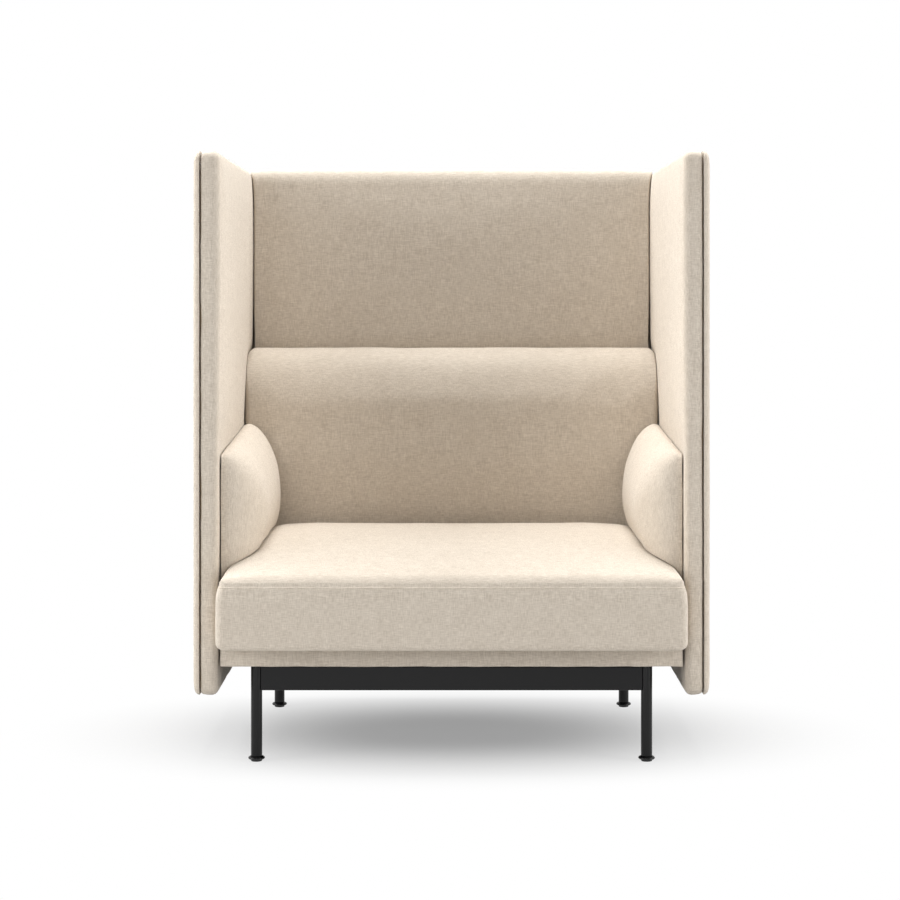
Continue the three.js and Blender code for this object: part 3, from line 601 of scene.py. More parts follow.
def powder_coat(tree, surface, place):
    """Polyester powder coat baked on steel. The eye sees a satin black with a faint orange peel."""
    peel_size = 1.6 * MM
    peel = add_node(tree, NOISE, {"Vector": place, "Scale": 1 / peel_size, "Detail": 2}).outputs["Fac"]
    bump = add_node(tree, BUMP, {"Height": peel, "Strength": 0.2, "Distance": 0.05 * MM})
    satin = add_node(tree, MAP_RANGE, {"Value": peel, "To Min": 0.3, "To Max": 0.38})
    feed(surface, {
        "Base Color": opaque(colours().coat),
        "Normal": bump.outputs[0],
        "Roughness": satin.outputs[0],
        "Specular IOR Level": 0.26,
    })


def moulded_nylon(tree, surface, place):
    """Injection moulded nylon. The eye sees a dull black with a fine spark-eroded grain."""
    grain_size = 0.8 * MM
    grain = add_node(tree, NOISE, {"Vector": place, "Scale": 1 / grain_size, "Detail": 3}).outputs["Fac"]
    bump = add_node(tree, BUMP, {"Height": grain, "Strength": 0.3, "Distance": 0.04 * MM})
    feed(surface, {"Base Color": opaque(colours().nylon), "Normal": bump.outputs[0], "Roughness": 0.6})


def timber(tint, grain_axis, ply_axis=None):
    """Sawn timber, or plywood where ply_axis is given. The eye sees long grain streaks and, on a board's
    edge, the dark and light plies."""
    streak_length, streak_width, ply = 160 * MM, 2.5 * MM, 1.4 * MM
    late_wood = 0.62  # the darker wood of the grain, as a share of the tint
    ply_contrast = 0.25

    def build(tree, surface, place):
        scale = [1 / streak_length if i == grain_axis else 1 / streak_width for i in range(3)]
        stretched = add_node(tree, VECTOR_MATH, {0: place, 1: scale}, operation="MULTIPLY").outputs[0]
        streaks = {"Vector": stretched, "Scale": 1, "Detail": 4, "Distortion": 0.4}
        grain = add_node(tree, NOISE, streaks).outputs["Fac"]
        shade = grain
        if ply_axis is not None:
            part = add_node(tree, "ShaderNodeSeparateXYZ", {0: place}).outputs[ply_axis]
            layer = add_node(tree, MATH, {0: part, 1: math.pi / ply}, operation="MULTIPLY").outputs[0]
            band = add_node(tree, MATH, {0: layer}, operation="SINE").outputs[0]
            plies = add_node(tree, MATH, {0: band, 1: ply_contrast, 2: grain}, operation="MULTIPLY_ADD")
            shade = plies.outputs[0]
        bump = add_node(tree, BUMP, {"Height": grain, "Strength": 0.3, "Distance": 0.2 * MM})
        tones = {
            "Factor": shade,
            MIX_FIRST: opaque(channel * late_wood for channel in tint),
            MIX_SECOND: opaque(tint),
        }
        feed(surface, {
            "Base Color": add_node(tree, MIX, tones, data_type="RGBA").outputs[MIX_RESULT],
            "Normal": bump.outputs[0],
            "Roughness": 0.65,
        })

    return build


def seat_webbing(tree, surface, place):
    """Woven elastic webbing. The eye sees fine ribs across the strap."""
    rib = 3 * MM
    turns = add_node(tree, VECTOR_MATH, {0: place, "Scale": 2 * math.pi / rib}, operation="SCALE")
    sines = add_node(tree, VECTOR_MATH, {0: turns.outputs[0]}, operation="SINE")
    parts = add_node(tree, "ShaderNodeSeparateXYZ", {0: sines.outputs[0]}).outputs
    ribs = add_node(tree, MATH, {0: parts[0], 1: parts[1]}, operation="MULTIPLY").outputs[0]
    tone = add_node(tree, MAP_RANGE, {"Value": ribs, "From Min": -1, "To Min": 0.6, "To Max": 1}).outputs[0]
    tinted = add_node(tree, VECTOR_MATH, {0: tuple(colours().webbing), "Scale": tone}, operation="SCALE")
    bump = add_node(tree, BUMP, {"Height": ribs, "Strength": 0.5, "Distance": 0.4 * MM})
    feed(surface, {"Base Color": tinted.outputs[0], "Normal": bump.outputs[0], "Roughness": 0.9})


def nonwoven_cloth(tree, surface, place):
    """Spunbonded dust cloth. The eye sees a flat black with fine pressed fibres."""
    fibre = 2.2 * MM
    cells = add_node(tree, "ShaderNodeTexVoronoi", {"Vector": place, "Scale": 1 / fibre})
    pressed = cells.outputs["Distance"]
    tone = add_node(tree, MAP_RANGE, {"Value": pressed, "To Min": 0.8, "To Max": 1.3}).outputs[0]
    tinted = add_node(tree, VECTOR_MATH, {0: tuple(colours().dust_cloth), "Scale": tone}, operation="SCALE")
    bump = add_node(tree, BUMP, {"Height": pressed, "Strength": 0.4, "Distance": 0.2 * MM})
    feed(surface, {"Base Color": tinted.outputs[0], "Normal": bump.outputs[0], "Roughness": 1})


def zinc_plate(tree, surface, place):
    """Bright zinc plate on steel. The eye sees a silvery metal, cloudy at a few millimetres."""
    cloud = 4 * MM
    clouds = add_node(tree, NOISE, {"Vector": place, "Scale": 1 / cloud, "Detail": 3}).outputs["Fac"]
    rough = add_node(tree, MAP_RANGE, {"Value": clouds, "To Min": 0.25, "To Max": 0.45})
    feed(surface, {"Base Color": opaque(colours().zinc), "Metallic": 1, "Roughness": rough.outputs[0]})


def cover_cloth():
    return new_finish("woven wool cover", woven_cover)


def black_coat():
    return new_finish("satin black powder coat", powder_coat)


# Shapes of the upholstery


def lumbar_face(z):
    """Place along Y of the lower back cushion's face at a height, before its sides roll back."""
    sizes = bpy.context.scene.chair_back
    return LUMBAR_LOW[1] + sizes.roll_back * (1 - swell(LUMBAR_HIGH[2] - z, sizes.roll_drop))


def side_crown(y, z):
    """How far a side pad's inner face swells at a place. The lower back cushion presses it flatter."""
    sizes = bpy.context.scene.chair_screens
    arm_top = bpy.context.scene.chair_arms.rear_top
    upright = swell(z - arm_top, CROWN_FOOT_REACH) * swell(SKIN_HIGH[2] - z, CROWN_TOP_REACH)
    full = sizes.crown * upright * swell(y - SKIN_LOW[1], CROWN_FRONT_REACH)
    full *= swell(BACK_PAD_HIGH[1] - y, CROWN_REAR_REACH)
    pressed = ease(y - lumbar_face(z) + CROWN_SOFTEN / 2, CROWN_SOFTEN)
    pressed *= ease(LUMBAR_HIGH[2] + CROWN_SOFTEN / 3 - z, CROWN_SOFTEN)
    return np.maximum(full - bpy.context.scene.chair_back.squeeze * pressed * (full > 0), 0)


def inner_face():
    """Distance of a side pad's flat inner face from the middle of the chair."""
    return X_PAD_BACK - bpy.context.scene.chair_screens.pad_thick


def between_pads(x, y, z):
    """Narrows what stands between the side pads to clear their crowns."""
    return x * (1 - side_crown(y, z) / inner_face())


def seat_top(x, y):
    """Height of the seat cushion's top above the floor."""
    sizes = bpy.context.scene.chair_seat
    crown = SEAT_HIGH[2] - sizes.seam_height - sizes.top_round
    from_side = SEAT_HIGH[0] - sizes.draw_in - np.abs(x)
    from_front = y - SEAT_LOW[1] - sizes.draw_in * sizes.end_share
    from_back = SEAT_HIGH[1] - sizes.draw_in * sizes.end_share - y
    edge = swell(np.minimum(np.minimum(from_side, from_front), from_back), sizes.top_round)
    across = swell(from_side, sizes.side_reach, SEAT_START_SHARE)
    along = swell(from_front, sizes.front_reach, SEAT_START_SHARE)
    crowned = crown * across * along * swell(from_back, sizes.back_reach)
    return sizes.seam_height + sizes.top_round * edge + crowned


def sheet_grid(half_width, half_height, steps):
    """Places across and up a sheet, closer together near its edges."""
    return graded(2 * half_width, *steps), graded(2 * half_height, *steps)


class ChairOperator:
    """What the operators that make the chair and its stage share."""

    bl_options = {"REGISTER", "UNDO"}


class AddScreenPads(ChairOperator, bpy.types.Operator):
    """Adds the padded inner faces of the two side screens and the back screen"""

    bl_idname = "lounge_chair.add_screen_pads"
    bl_label = "Screen pads"

    def execute(self, context):
        for name, side in SIDES:
            self.add_side_pad(context, name, side)
        self.add_back_pad(context)
        return {"FINISHED"}

    def add_side_pad(self, context, name, side):
        sizes = context.scene.chair_screens
        half_width, half_height = SCREEN_HALF[1:] + sizes.proud
        thick, edge = sizes.pad_thick, sizes.pad_edge
        front_line = thick - edge

        def lean(depth):
            return sizes.lean * (1 - float(swell(depth, front_line)))

        def place(su, sv, inset, depth, sheet):
            a, b = half_width - inset, half_height - inset
            u, v = round_corners(a * su, b * sv, a, b, max(sizes.corner - inset, sizes.groove_edge))
            y, z = SCREEN_MIDDLE[1] - side * u, SCREEN_MIDDLE[2] + v
            risen = ease(depth - front_line, edge) if sheet != BACK else 0
            out = sizes.stand_out * (1 - depth / thick)
            return np.stack([side * (X_PAD_BACK + out - depth - risen * side_crown(y, z)), y, z], -1)

        wall_rows = 12
        middle = np.linspace(sizes.groove_edge, front_line, wall_rows)[1:-1]
        piece = closed_pad(
            f"{name}_screen_pad_cover",
            *sheet_grid(half_width, half_height, PAD_GRID),
            wall_profile(thick, sizes.groove_edge, edge, middle, lean=lean),
            place,
            cover_cloth(),
        )
        rim = np.array([half_width, half_height])
        edge_band = 60 * MM  # where the cover is tacked down, and less even

        def uneven(points):
            from_rim = (rim - np.abs(points[:, 1:] - SCREEN_MIDDLE[1:])).min(axis=1)
            face = ripple(points, SIDE_FACE_WAVES, 3 + side)
            return face + ripple(points, SIDE_RIM_PUCKERS, 5 + side, near(from_rim, 0, edge_band))

        push_out(piece, uneven)
        subdivide(piece)
        dress(piece, f"{name}_screen_pad")

    def add_back_pad(self, context):
        sizes = context.scene.chair_screens
        half_width = (BACK_PAD_HIGH[0] - BACK_PAD_LOW[0]) / 2
        half_height = SCREEN_HALF[2] + sizes.proud
        thick, edge = BACK_PAD_HIGH[1] - BACK_PAD_LOW[1], sizes.back_edge
        side_share = sizes.back_side_edge / edge
        rise_side, rise_height, rise_depth = 40 * MM, 90 * MM, 20 * MM  # over which the top edge rises

        def place(su, sv, inset, depth, sheet):
            a, b = half_width - inset * side_share, half_height - inset
            u, v = round_corners(a * su, b * sv, a, b, sizes.back_side_edge)
            rise = sizes.back_rise * ease(half_width - np.abs(u), rise_side)
            rise *= ease(v - b + rise_height, rise_height)
            y, z = BACK_PAD_HIGH[1] - depth, SCREEN_MIDDLE[2] + v + rise * min(depth / rise_depth, 1)
            return np.stack([between_pads(u, y, z), np.broadcast_to(y, z.shape), z], -1)

        wall_start, wall_end, wall_rows = 8 * MM, 30 * MM, 3
        middle = np.linspace(wall_start, wall_end, wall_rows)
        piece = closed_pad(
            "back_screen_pad_cover",
            *sheet_grid(half_width, half_height, PAD_GRID),
            wall_profile(thick, sizes.groove_edge, edge, middle, sizes.back_edge_share),
            place,
            cover_cloth(),
        )
        crown, crown_reach = 3 * MM, 120 * MM

        def uneven(points):
            inside = BACK_PAD_HIGH[1] - points[:, 1] > thick / 2
            from_side = half_width - np.abs(points[:, 0])
            from_top = SKIN_HIGH[2] - points[:, 2]
            full = crown * ease(from_side, crown_reach) * ease(from_top, crown_reach) * inside
            below = LUMBAR_HIGH[2] + BACK_SINK_REACH / 2 - points[:, 2]
            sink = sizes.back_sink * ease(below, BACK_SINK_REACH)
            return full - sink * inside + ripple(points, BACK_PAD_WAVES, 11)

        push_out(piece, uneven)
        subdivide(piece)
        dress(piece, "back_screen_pad")


class AddScreenSkins(ChairOperator, bpy.types.Operator):
    """Adds the covered outer skins of the three screens"""

    bl_idname = "lounge_chair.add_screen_skins"
    bl_label = "Screen skins"

    def execute(self, context):
        for name, side in SIDES:
            self.add_skin(context, f"{name}_screen_skin", side)
        self.add_skin(context, "back_screen_skin", 0)
        return {"FINISHED"}

    def add_skin(self, context, node, side):
        """side is -1 or 1 for a side screen's skin and 0 for the back screen's."""
        sizes = context.scene.chair_screens
        low, high = low_of(node), high_of(node)
        along = 1 if side else 0
        thick = SKIN_HIGH[0] - SKIN_LOW[0]
        half_width = (high[along] - low[along]) / 2 + (sizes.proud if side else 0) - sizes.skin_inset
        half_height = (high[2] - low[2]) / 2 + sizes.proud - sizes.skin_inset
        middle = (low + high) / 2
        bulge, taper_height = 1.2 * MM, 35 * MM

        def place(su, sv, inset, depth, sheet):
            a, b = half_width - inset, half_height - inset
            u, v = round_corners(a * su, b * sv, a, b, max(sizes.corner - inset, sizes.groove_edge))
            full = 0
            if sheet == FRONT:
                full = bulge * (1 - su**2) ** 0.5 * (1 - sv**2) ** 0.5
            taper = sizes.skin_taper * near(half_height - np.abs(v), 0, taper_height) * depth / thick
            out = depth + full - taper
            if side:
                x = side * (sizes.stand_out - SKIN_HIGH[0] + out)
                return np.stack([x, middle[1] + side * u, middle[2] + v], -1)
            return np.stack([-u, low[1] + out, middle[2] + v], -1)

        piece = closed_pad(
            f"{node}_cover",
            *sheet_grid(half_width, half_height, SKIN_GRID),
            wall_profile(thick, sizes.groove_edge, sizes.skin_edge),
            place,
            cover_cloth(),
        )
        push_out(piece, lambda points: ripple(points, SKIN_WAVES, 17))
        subdivide(piece)
        dress(piece, node)


class AddSeatCushion(ChairOperator, bpy.types.Operator):
    """Adds the seat cushion: a crowned top panel seamed to swelling sides"""

    bl_idname = "lounge_chair.add_seat_cushion"
    bl_label = "Seat cushion"

    def execute(self, context):
        sizes = context.scene.chair_seat
        half_width = SEAT_HIGH[0]
        half_length = (SEAT_HIGH[1] - SEAT_LOW[1]) / 2
        y_middle = (SEAT_HIGH[1] + SEAT_LOW[1]) / 2
        z_foot, z_seam = SEAT_LOW[2], sizes.seam_height
        side_height = z_seam - z_foot
        draw_in_power = 5  # more keeps the upper half of the sides straight for longer

        def inset_at(up):
            share = up / side_height
            foot = sizes.foot_round * (1 - float(swell(up, sizes.foot_round)))
            return foot + sizes.draw_in * max(2 * share - 1, 0) ** draw_in_power

        welt = sizes.welt
        rows = (
            0, 0.003, 0.01, 0.022, 0.04, 0.065, 0.1, 0.15, 0.28, 0.4, 0.52, 0.64, 0.75, 0.83, 0.89, 0.94,
            0.965,
        )  # heights of the side's rows, as shares of its own
        profile = [(inset_at(row * side_height), row * side_height) for row in rows]
        seam_inset = inset_at(side_height)
        middle_inset, middle_up = seam_inset + 0.1 * welt, side_height - welt
        for turn in np.radians(np.linspace(-60, 100, 8)):
            profile.append((middle_inset - welt * math.cos(turn), middle_up + welt * math.sin(turn)))
        profile.append((seam_inset + 1.2 * welt, side_height))

        def place(su, sv, inset, up, sheet):
            flatter = (1 - sizes.end_share) * inset_at(up)
            a, b = half_width - inset, half_length - inset + flatter
            u, v = round_corners(a * su, b * sv, a, b, sizes.corner)
            y = y_middle + v
            if sheet == FRONT:
                z = seat_top(u, y)
            else:
                z = np.broadcast_to(z_foot + up, u.shape)
            return np.stack([u, y, z], -1)

        across, along = bunched(120), bunched(84)
        piece = closed_pad("seat_cushion_cover", across, along, profile, place, cover_cloth())
        pucker_reach, wave_reach = 16 * MM, 20 * MM  # from the top seam

        def uneven(points):
            above = points[:, 2] - z_seam
            puckers = ripple(points, SEAT_SEAM_PUCKERS, 23, near(np.abs(above), 0, pucker_reach))
            return puckers + ripple(points, SEAT_TOP_WAVES, 29, ease(above, wave_reach))

        # Where the cover is held: how wide in full, and over what width that fades
        seam_band, front_band, foot_band = (3 * MM, 24 * MM), (30 * MM, 120 * MM), (4 * MM, 20 * MM)
        arm_width, arm_ahead, back_ahead, fade = 120 * MM, 20 * MM, 40 * MM, 30 * MM

        def hold(points):
            """The seams and the front, and where the arm pads and the back cushion lean on the top."""
            x, y, z = points.T
            seam = near(np.abs(z - z_seam), *seam_band)
            front = near(y - SEAT_LOW[1], *front_band)
            foot = near(z - z_foot, *foot_band)
            under_arms = ease(np.abs(x) - (inner_face() - arm_width), fade) * (y > ARM_LOW[1] - arm_ahead)
            behind = ease(y - LUMBAR_LOW[1] + back_ahead, fade)
            return np.max([seam, front, foot, under_arms, behind], axis=0)

        push_out(piece, uneven)
        inflate(piece, hold, pressure=4)
        subdivide(piece)
        dress(piece, "seat_cushion")
        return {"FINISHED"}


class AddLowerBackCushion(ChairOperator, bpy.types.Operator):
    """Adds the lower back cushion, whose face rolls back to its top edge"""

    bl_idname = "lounge_chair.add_lower_back_cushion"
    bl_label = "Lower back cushion"

    def execute(self, context):
        sizes = context.scene.chair_back
        half_width = SEAT_HIGH[0]
        z_foot, z_top = LUMBAR_LOW[2], LUMBAR_HIGH[2]
        y_face, y_rear = LUMBAR_LOW[1], LUMBAR_HIGH[1]
        straight_rows, rolled_rows, side_columns, face_columns = 44, 17, 5, 86
        straight = np.linspace(z_foot, z_top - sizes.roll_drop, straight_rows, endpoint=False)
        rolled = z_top - sizes.roll_drop * (1 - arc(rolled_rows)[0])
        heights = np.concatenate([straight, rolled])
        sides = half_width - sizes.side_roll * (1 - arc(side_columns)[0])
        face = np.linspace(-sides[0], sides[0], face_columns)[1:-1]
        columns = np.concatenate([-sides[::-1], face, sides])
        vs = (heights - z_foot) / (z_top - z_foot) * 2 - 1
        us = columns / half_width

        def place(su, sv, inset, depth, sheet):
            x = su * (half_width - inset)
            z = z_foot + (sv + 1) / 2 * (z_top - z_foot)
            from_side = half_width * (1 - np.abs(su))
            side_roll = sizes.side_roll * (1 - swell(from_side, sizes.side_roll))
            under = sizes.undercut * ease(SEAT_HIGH[2] + sizes.under_reach - z, sizes.under_reach)
            face = np.maximum(lumbar_face(z), y_face + side_roll) + under
            y = y_rear + (face - y_rear) * depth
            corner = sizes.top_corner * (1 - swell(from_side, sizes.top_corner))
            near_top = ease(z - z_top + 4 * sizes.top_corner, 4 * sizes.top_corner)
            z = z - (sizes.settle + inset + corner) * near_top
            return np.stack([between_pads(x, y, z), y, z], -1)

        edge, top_thick = sizes.rear_edge, 38 * MM
        profile = [(edge * (1 - sine), edge * (1 - cosine) / top_thick) for sine, cosine in zip(*arc(4))]
        profile += [(0, share) for share in (0.5, 0.75, 1)]
        piece = closed_pad("lower_back_cushion_cover", us, vs, profile, place, cover_cloth())

        crown, crown_side, crown_foot = 4 * MM, 200 * MM, 150 * MM
        crown_depth = (20 * MM, 60 * MM)  # behind the face: in full, and where it fades

        def uneven(points):
            full = crown * near(points[:, 1] - y_face, *crown_depth)
            full *= ease(half_width - np.abs(points[:, 0]), crown_side)
            full *= ease(points[:, 2] - SEAT_HIGH[2], crown_foot)
            return full + ripple(points, LUMBAR_WAVES, 31)

        # Where the cover is held: how wide in full, and over what width that fades
        side_band, foot_band = (20 * MM, 40 * MM), (0, 40 * MM)
        rear_start, fade = 60 * MM, 20 * MM

        def hold(points):
            """The sides against the screens, the back with the top edge, and the foot behind the seat."""
            x, y, z = points.T
            beside = near(half_width - np.abs(x), *side_band)
            rear = ease(y - y_face - rear_start, fade)
            foot = near(z - SEAT_HIGH[2], *foot_band)
            return np.max([beside, rear, foot], axis=0)

        push_out(piece, uneven)
        inflate(piece, hold, pressure=4)
        subdivide(piece)
        dress(piece, "lower_back_cushion")
        return {"FINISHED"}


class AddArmPads(ChairOperator, bpy.types.Operator):
    """Adds the two arm pads: pillows with knife edges that lean on the screens and the seat"""

    bl_idname = "lounge_chair.add_arm_pads"
    bl_label = "Arm pads"

    def execute(self, context):
        for name, side in SIDES:
            self.add_arm_pad(context, name, side)
        return {"FINISHED"}

    def add_arm_pad(self, context, name, side):
        sizes = context.scene.chair_arms
        x_wall = inner_face() - FIT
        y_front, y_rear = ARM_LOW[1], ARM_HIGH[1]
        z_foot = context.scene.chair_seat.seam_height + FIT
        seam, tuck = 1.6 * MM, 14 * MM  # thickness of the seams, and how far in the back meets the screen
        puff_thick, puff_height = 25 * MM, 60 * MM  # where the pad swells up: how far out, and how far down

        def place(su, sv, inset, depth, sheet):
            along = (1 + su) / 2
            y = y_front + (y_rear - y_front) * along
            z_top = sizes.front_top + (sizes.rear_top - sizes.front_top) * along
            z = z_foot + (z_top - z_foot) * (1 + sv) / 2
            ends = swell(y - y_front, sizes.front_reach) * swell(y_rear - y, sizes.rear_reach)
            upright = swell(z - z_foot, sizes.foot_reach) * swell(z_top - z, sizes.top_reach)
            full = ridged(ends, upright, ARM_RIDGE_POWER)
            stand_off = sizes.seam_gap * (1 - ease(np.minimum(y - y_front, z_top - z), tuck))
            if sheet == BACK:
                x = x_wall - stand_off
            else:
                edge = sizes.seam_gap + seam * depth
                x = x_wall - edge - (sizes.swell - edge) * full * (sheet == FRONT)
            puffed = swell(x_wall - x - sizes.seam_gap - seam, puff_thick) * near(z_top - z, 0, puff_height)
            z = z + sizes.puff * puffed * (sheet == FRONT)
            lift = np.maximum(seat_top(x, y) + 1 * MM - z, 0)
            return np.stack([side * x, y, z + lift], -1)

        profile = [(0, 0), (0, 0.5), (0, 1)]
        along, upward = bunched(64), bunched(44)
        piece = closed_pad(f"{name}_arm_pad_cover", along, upward, profile, place, cover_cloth())

        # Where the cover is held: how wide in full, and over what width that fades
        wall_band, foot_band = (4 * MM, 12 * MM), (4 * MM, 20 * MM)
        rear_width, fade = 30 * MM, 20 * MM

        def hold(points):
            """The seams with the back on the screen, the foot on the seat, and the rear end."""
            x, y, z = points.T
            wall = near(x_wall - np.abs(x), *wall_band)
            foot = near(z - seat_top(x, y), *foot_band)
            rear = ease(y - y_rear + rear_width, fade)
            return np.max([wall, foot, rear], axis=0)

        push_out(piece, lambda points: ripple(points, ARM_WAVES, 37 + side))
        inflate(piece, hold, pressure=6)
        subdivide(piece)
        dress(piece, f"{name}_arm_pad")


class AddBaseCovers(ChairOperator, bpy.types.Operator):
    """Adds the cloth drawn over the front and the sides of the seat base"""

    bl_idname = "lounge_chair.add_base_covers"
    bl_label = "Base covers"

    def execute(self, context):
        for node in ("base_front_cover", "base_left_cover", "base_right_cover"):
            self.add_cover(node)
        return {"FINISHED"}

    def add_cover(self, node):
        low, high = low_of(node), high_of(node)
        run = 0 if node == "base_front_cover" else 1
        cloth, lip, bend, fold = 2.5 * MM, 20 * MM, 3 * MM, 0.8 * MM
        step_round, step_along = 7 * MM, 10 * MM
        outline = np.array([
            (0, high[2]), (0, low[2]), (lip, low[2]), (lip, low[2] + cloth), (cloth, low[2] + cloth),
            (cloth, high[2]),
        ])
        rounded = []
        for i, here in enumerate(outline):
            before, after = outline[i - 1], outline[(i + 1) % len(outline)]
            reach, count = (bend, 6) if i == 1 else (fold, 3)
            rounded += curved_corner(before, here, after, reach, count)
        loop = []
        for (d0, z0), (d1, z1) in zip(rounded, rounded[1:] + rounded[:1]):
            steps = max(1, round(math.hypot(d1 - d0, z1 - z0) / step_round))
            loop += [(d0 + (d1 - d0) * k / steps, z0 + (z1 - z0) * k / steps) for k in range(steps)]
        stations = np.linspace(low[run], high[run], round((high[run] - low[run]) / step_along))
        points = []
        for station in stations:
            for d, z in loop:
                if run == 0:
                    points.append((station, low[1] + d, z))
                elif node == "base_left_cover":
                    points.append((low[0] + d, station, z))
                else:
                    points.append((high[0] - d, station, z))
        count, rings = len(loop), len(stations)
        faces = [list(range(count))[::-1], list(range((rings - 1) * count, rings * count))]
        for k in range(rings - 1):
            for i in range(count):
                j = (i + 1) % count
                faces.append([k * count + i, (k + 1) * count + i, (k + 1) * count + j, k * count + j])
        piece = new_piece(f"{node}_cloth", points, faces, cover_cloth(), SHARP_FOLD)
        push_out(piece, lambda points: ripple(points, BASE_COVER_WAVES, 41))
        dress(piece, node)


class AddDustCloth(ChairOperator, bpy.types.Operator):
    """Adds the thin cloth stretched under the seat base"""

    bl_idname = "lounge_chair.add_dust_cloth"
    bl_label = "Dust cloth"

    def execute(self, context):
        low, high = low_of("base_dust_cloth"), high_of("base_dust_cloth")
        thick = high[2] - low[2]
        wide, long = high[0] - low[0], high[1] - low[1]
        middle = (low + high) / 2
        margin = 0.2 * MM  # by which the cloth is thinner than its solid, on each side
        slack = 1.6 * MM

        def place(su, sv, inset, depth, sheet):
            x = middle[0] + su * wide / 2
            y = middle[1] + sv * long / 2
            loose = (1 - su**2) * (1 - sv**2)
            points = np.stack([x, y, np.full(x.shape, low[2] + depth)], -1)
            points[:, 2] -= loose * (slack + ripple(points * (1, 1, 0), DUST_CLOTH_WAVES, 43))
            return points

        piece = closed_pad(
            "base_dust_cloth_sheet",
            np.linspace(-1, 1, 58),
            np.linspace(-1, 1, 40),
            [(0, margin), (0, thick - margin)],
            place,
            new_finish("spunbonded dust cloth", nonwoven_cloth),
        )
        dress(piece, "base_dust_cloth")
        return {"FINISHED"}


class AddLegs(ChairOperator, bpy.types.Operator):
    """Adds the four round steel legs"""

    bl_idname = "lounge_chair.add_legs"
    bl_label = "Legs"

    def execute(self, context):
        sizes = context.scene.chair_steel
        for corner in CORNERS:
            low, high = low_of(f"{corner}_leg"), high_of(f"{corner}_leg")
            radius, height = (high[0] - low[0]) / 2, high[2] - low[2]
            bore = radius - sizes.wall
            outline = [
                (sizes.hole, 0), (radius, 0), (radius, height), (bore, height), (bore, sizes.plug),
                (sizes.hole, sizes.plug),
            ]
            middle = (low + high) / 2
            piece = turned(
                f"{corner}_leg_tube", broken_edge(outline, sizes.edge), (middle[0], middle[1], low[2]),
                black_coat(), closed_loop=True,
            )
            dress(piece, f"{corner}_leg")
        return {"FINISHED"}


class AddBeams(ChairOperator, bpy.types.Operator):
    """Adds the rectangular tubes between the legs, shaped to them at their ends"""

    bl_idname = "lounge_chair.add_beams"
    bl_label = "Beams"

    def execute(self, context):
        for node, run in (("front_beam", 0), ("rear_beam", 0), ("left_beam", 1), ("right_beam", 1)):
            self.add_beam(context, node, run)
        return {"FINISHED"}

    def add_beam(self, context, node, run):
        sizes = context.scene.chair_steel
        low, high = low_of(node), high_of(node)
        leg_low, leg_high = low_of("front_left_leg"), high_of("front_left_leg")
        rear_low, rear_high = low_of("rear_left_leg"), high_of("rear_left_leg")
        leg_radius = (leg_high[0] - leg_low[0]) / 2
        x_leg = -(leg_low[0] + leg_high[0]) / 2
        y_legs = (leg_low[1] + leg_high[1]) / 2, (rear_low[1] + rear_high[1]) / 2
        thick = high[1 - run] - low[1 - run]
        tall = high[2] - low[2]
        middle = (low + high) / 2

        def ring(inset, radius):
            """The tube's outline at an inset, with steps in its sides so that its ends fit a round leg."""
            step = 3 * MM
            half = np.array([thick, tall]) / 2 - inset
            loop = []
            for quarter, way in enumerate(((1, 1), (-1, 1), (-1, -1), (1, -1))):
                for turn in np.linspace(0, math.pi / 2, 5) + quarter * math.pi / 2:
                    corner = radius * np.array([math.cos(turn), math.sin(turn)])
                    loop.append(np.array(way) * (half - radius) + corner)
            steps = []
            for here, after in zip(loop, loop[1:] + loop[:1]):
                count = max(1, round(np.linalg.norm(after - here) / step))
                steps += [here + (after - here) * k / count for k in range(count)]
            return np.array(steps)

        def end_place(across, end):
            """Where the tube ends along its run, at a place across it, so that it meets its round leg."""
            if run == 1:
                y_leg = y_legs[0] if end < 0 else y_legs[1]
                return y_leg - end * np.sqrt(leg_radius**2 - across**2)
            reach = x_leg - np.sqrt(np.maximum(leg_radius**2 - across**2, 0))
            return end * np.minimum(reach, high[0])

        outer = ring(0, sizes.tube_corner)
        inner = ring(sizes.wall, sizes.tube_corner - sizes.wall)
        points, faces, starts = [], [], []
        for loop in (outer, inner):
            for end in (-1, 1):
                starts.append(len(points))
                for across, up in loop:
                    along = float(end_place(np.array(across), end))
                    spot = [along, middle[1] + across] if run == 0 else [middle[0] + across, along]
                    points.append((*spot, middle[2] + up))
        outer_low, outer_high, inner_low, inner_high = starts
        for i in range(len(outer)):
            j = (i + 1) % len(outer)
            faces.append([outer_low + i, outer_low + j, outer_high + j, outer_high + i])
        for i in range(len(inner)):
            j = (i + 1) % len(inner)
            faces.append([inner_low + j, inner_low + i, inner_high + i, inner_high + j])
        faces += bridge(outer, inner, outer_low, inner_low)
        faces += [face[::-1] for face in bridge(outer, inner, outer_high, inner_high)]
        piece = new_piece(f"{node}_tube", points, faces, black_coat(), SHARP_EDGE)
        dress(piece, node)


def bridge(outer, inner, outer_start, inner_start):
    """Triangles between two loops round one middle, walked by angle."""
    full_turn = 2 * math.pi
    outer_turns, inner_turns = (np.unwrap(np.arctan2(loop[:, 1], loop[:, 0])) for loop in (outer, inner))
    inner_turns = inner_turns + full_turn * round((outer_turns[0] - inner_turns[0]) / full_turn)
    faces = []
    i, j = 0, 0
    while i < len(outer) or j < len(inner):
        next_outer = outer_turns[i + 1] if i + 1 < len(outer) else outer_turns[0] + full_turn
        next_inner = inner_turns[j + 1] if j + 1 < len(inner) else inner_turns[0] + full_turn
        a, b = outer_start + i % len(outer), inner_start + j % len(inner)
        if j >= len(inner) or (i < len(outer) and next_outer <= next_inner):
            face = [a, b, outer_start + (i + 1) % len(outer)]
            i += 1
        else:
            face = [a, b, inner_start + (j + 1) % len(inner)]
            j += 1
        faces.append(face)
    return faces


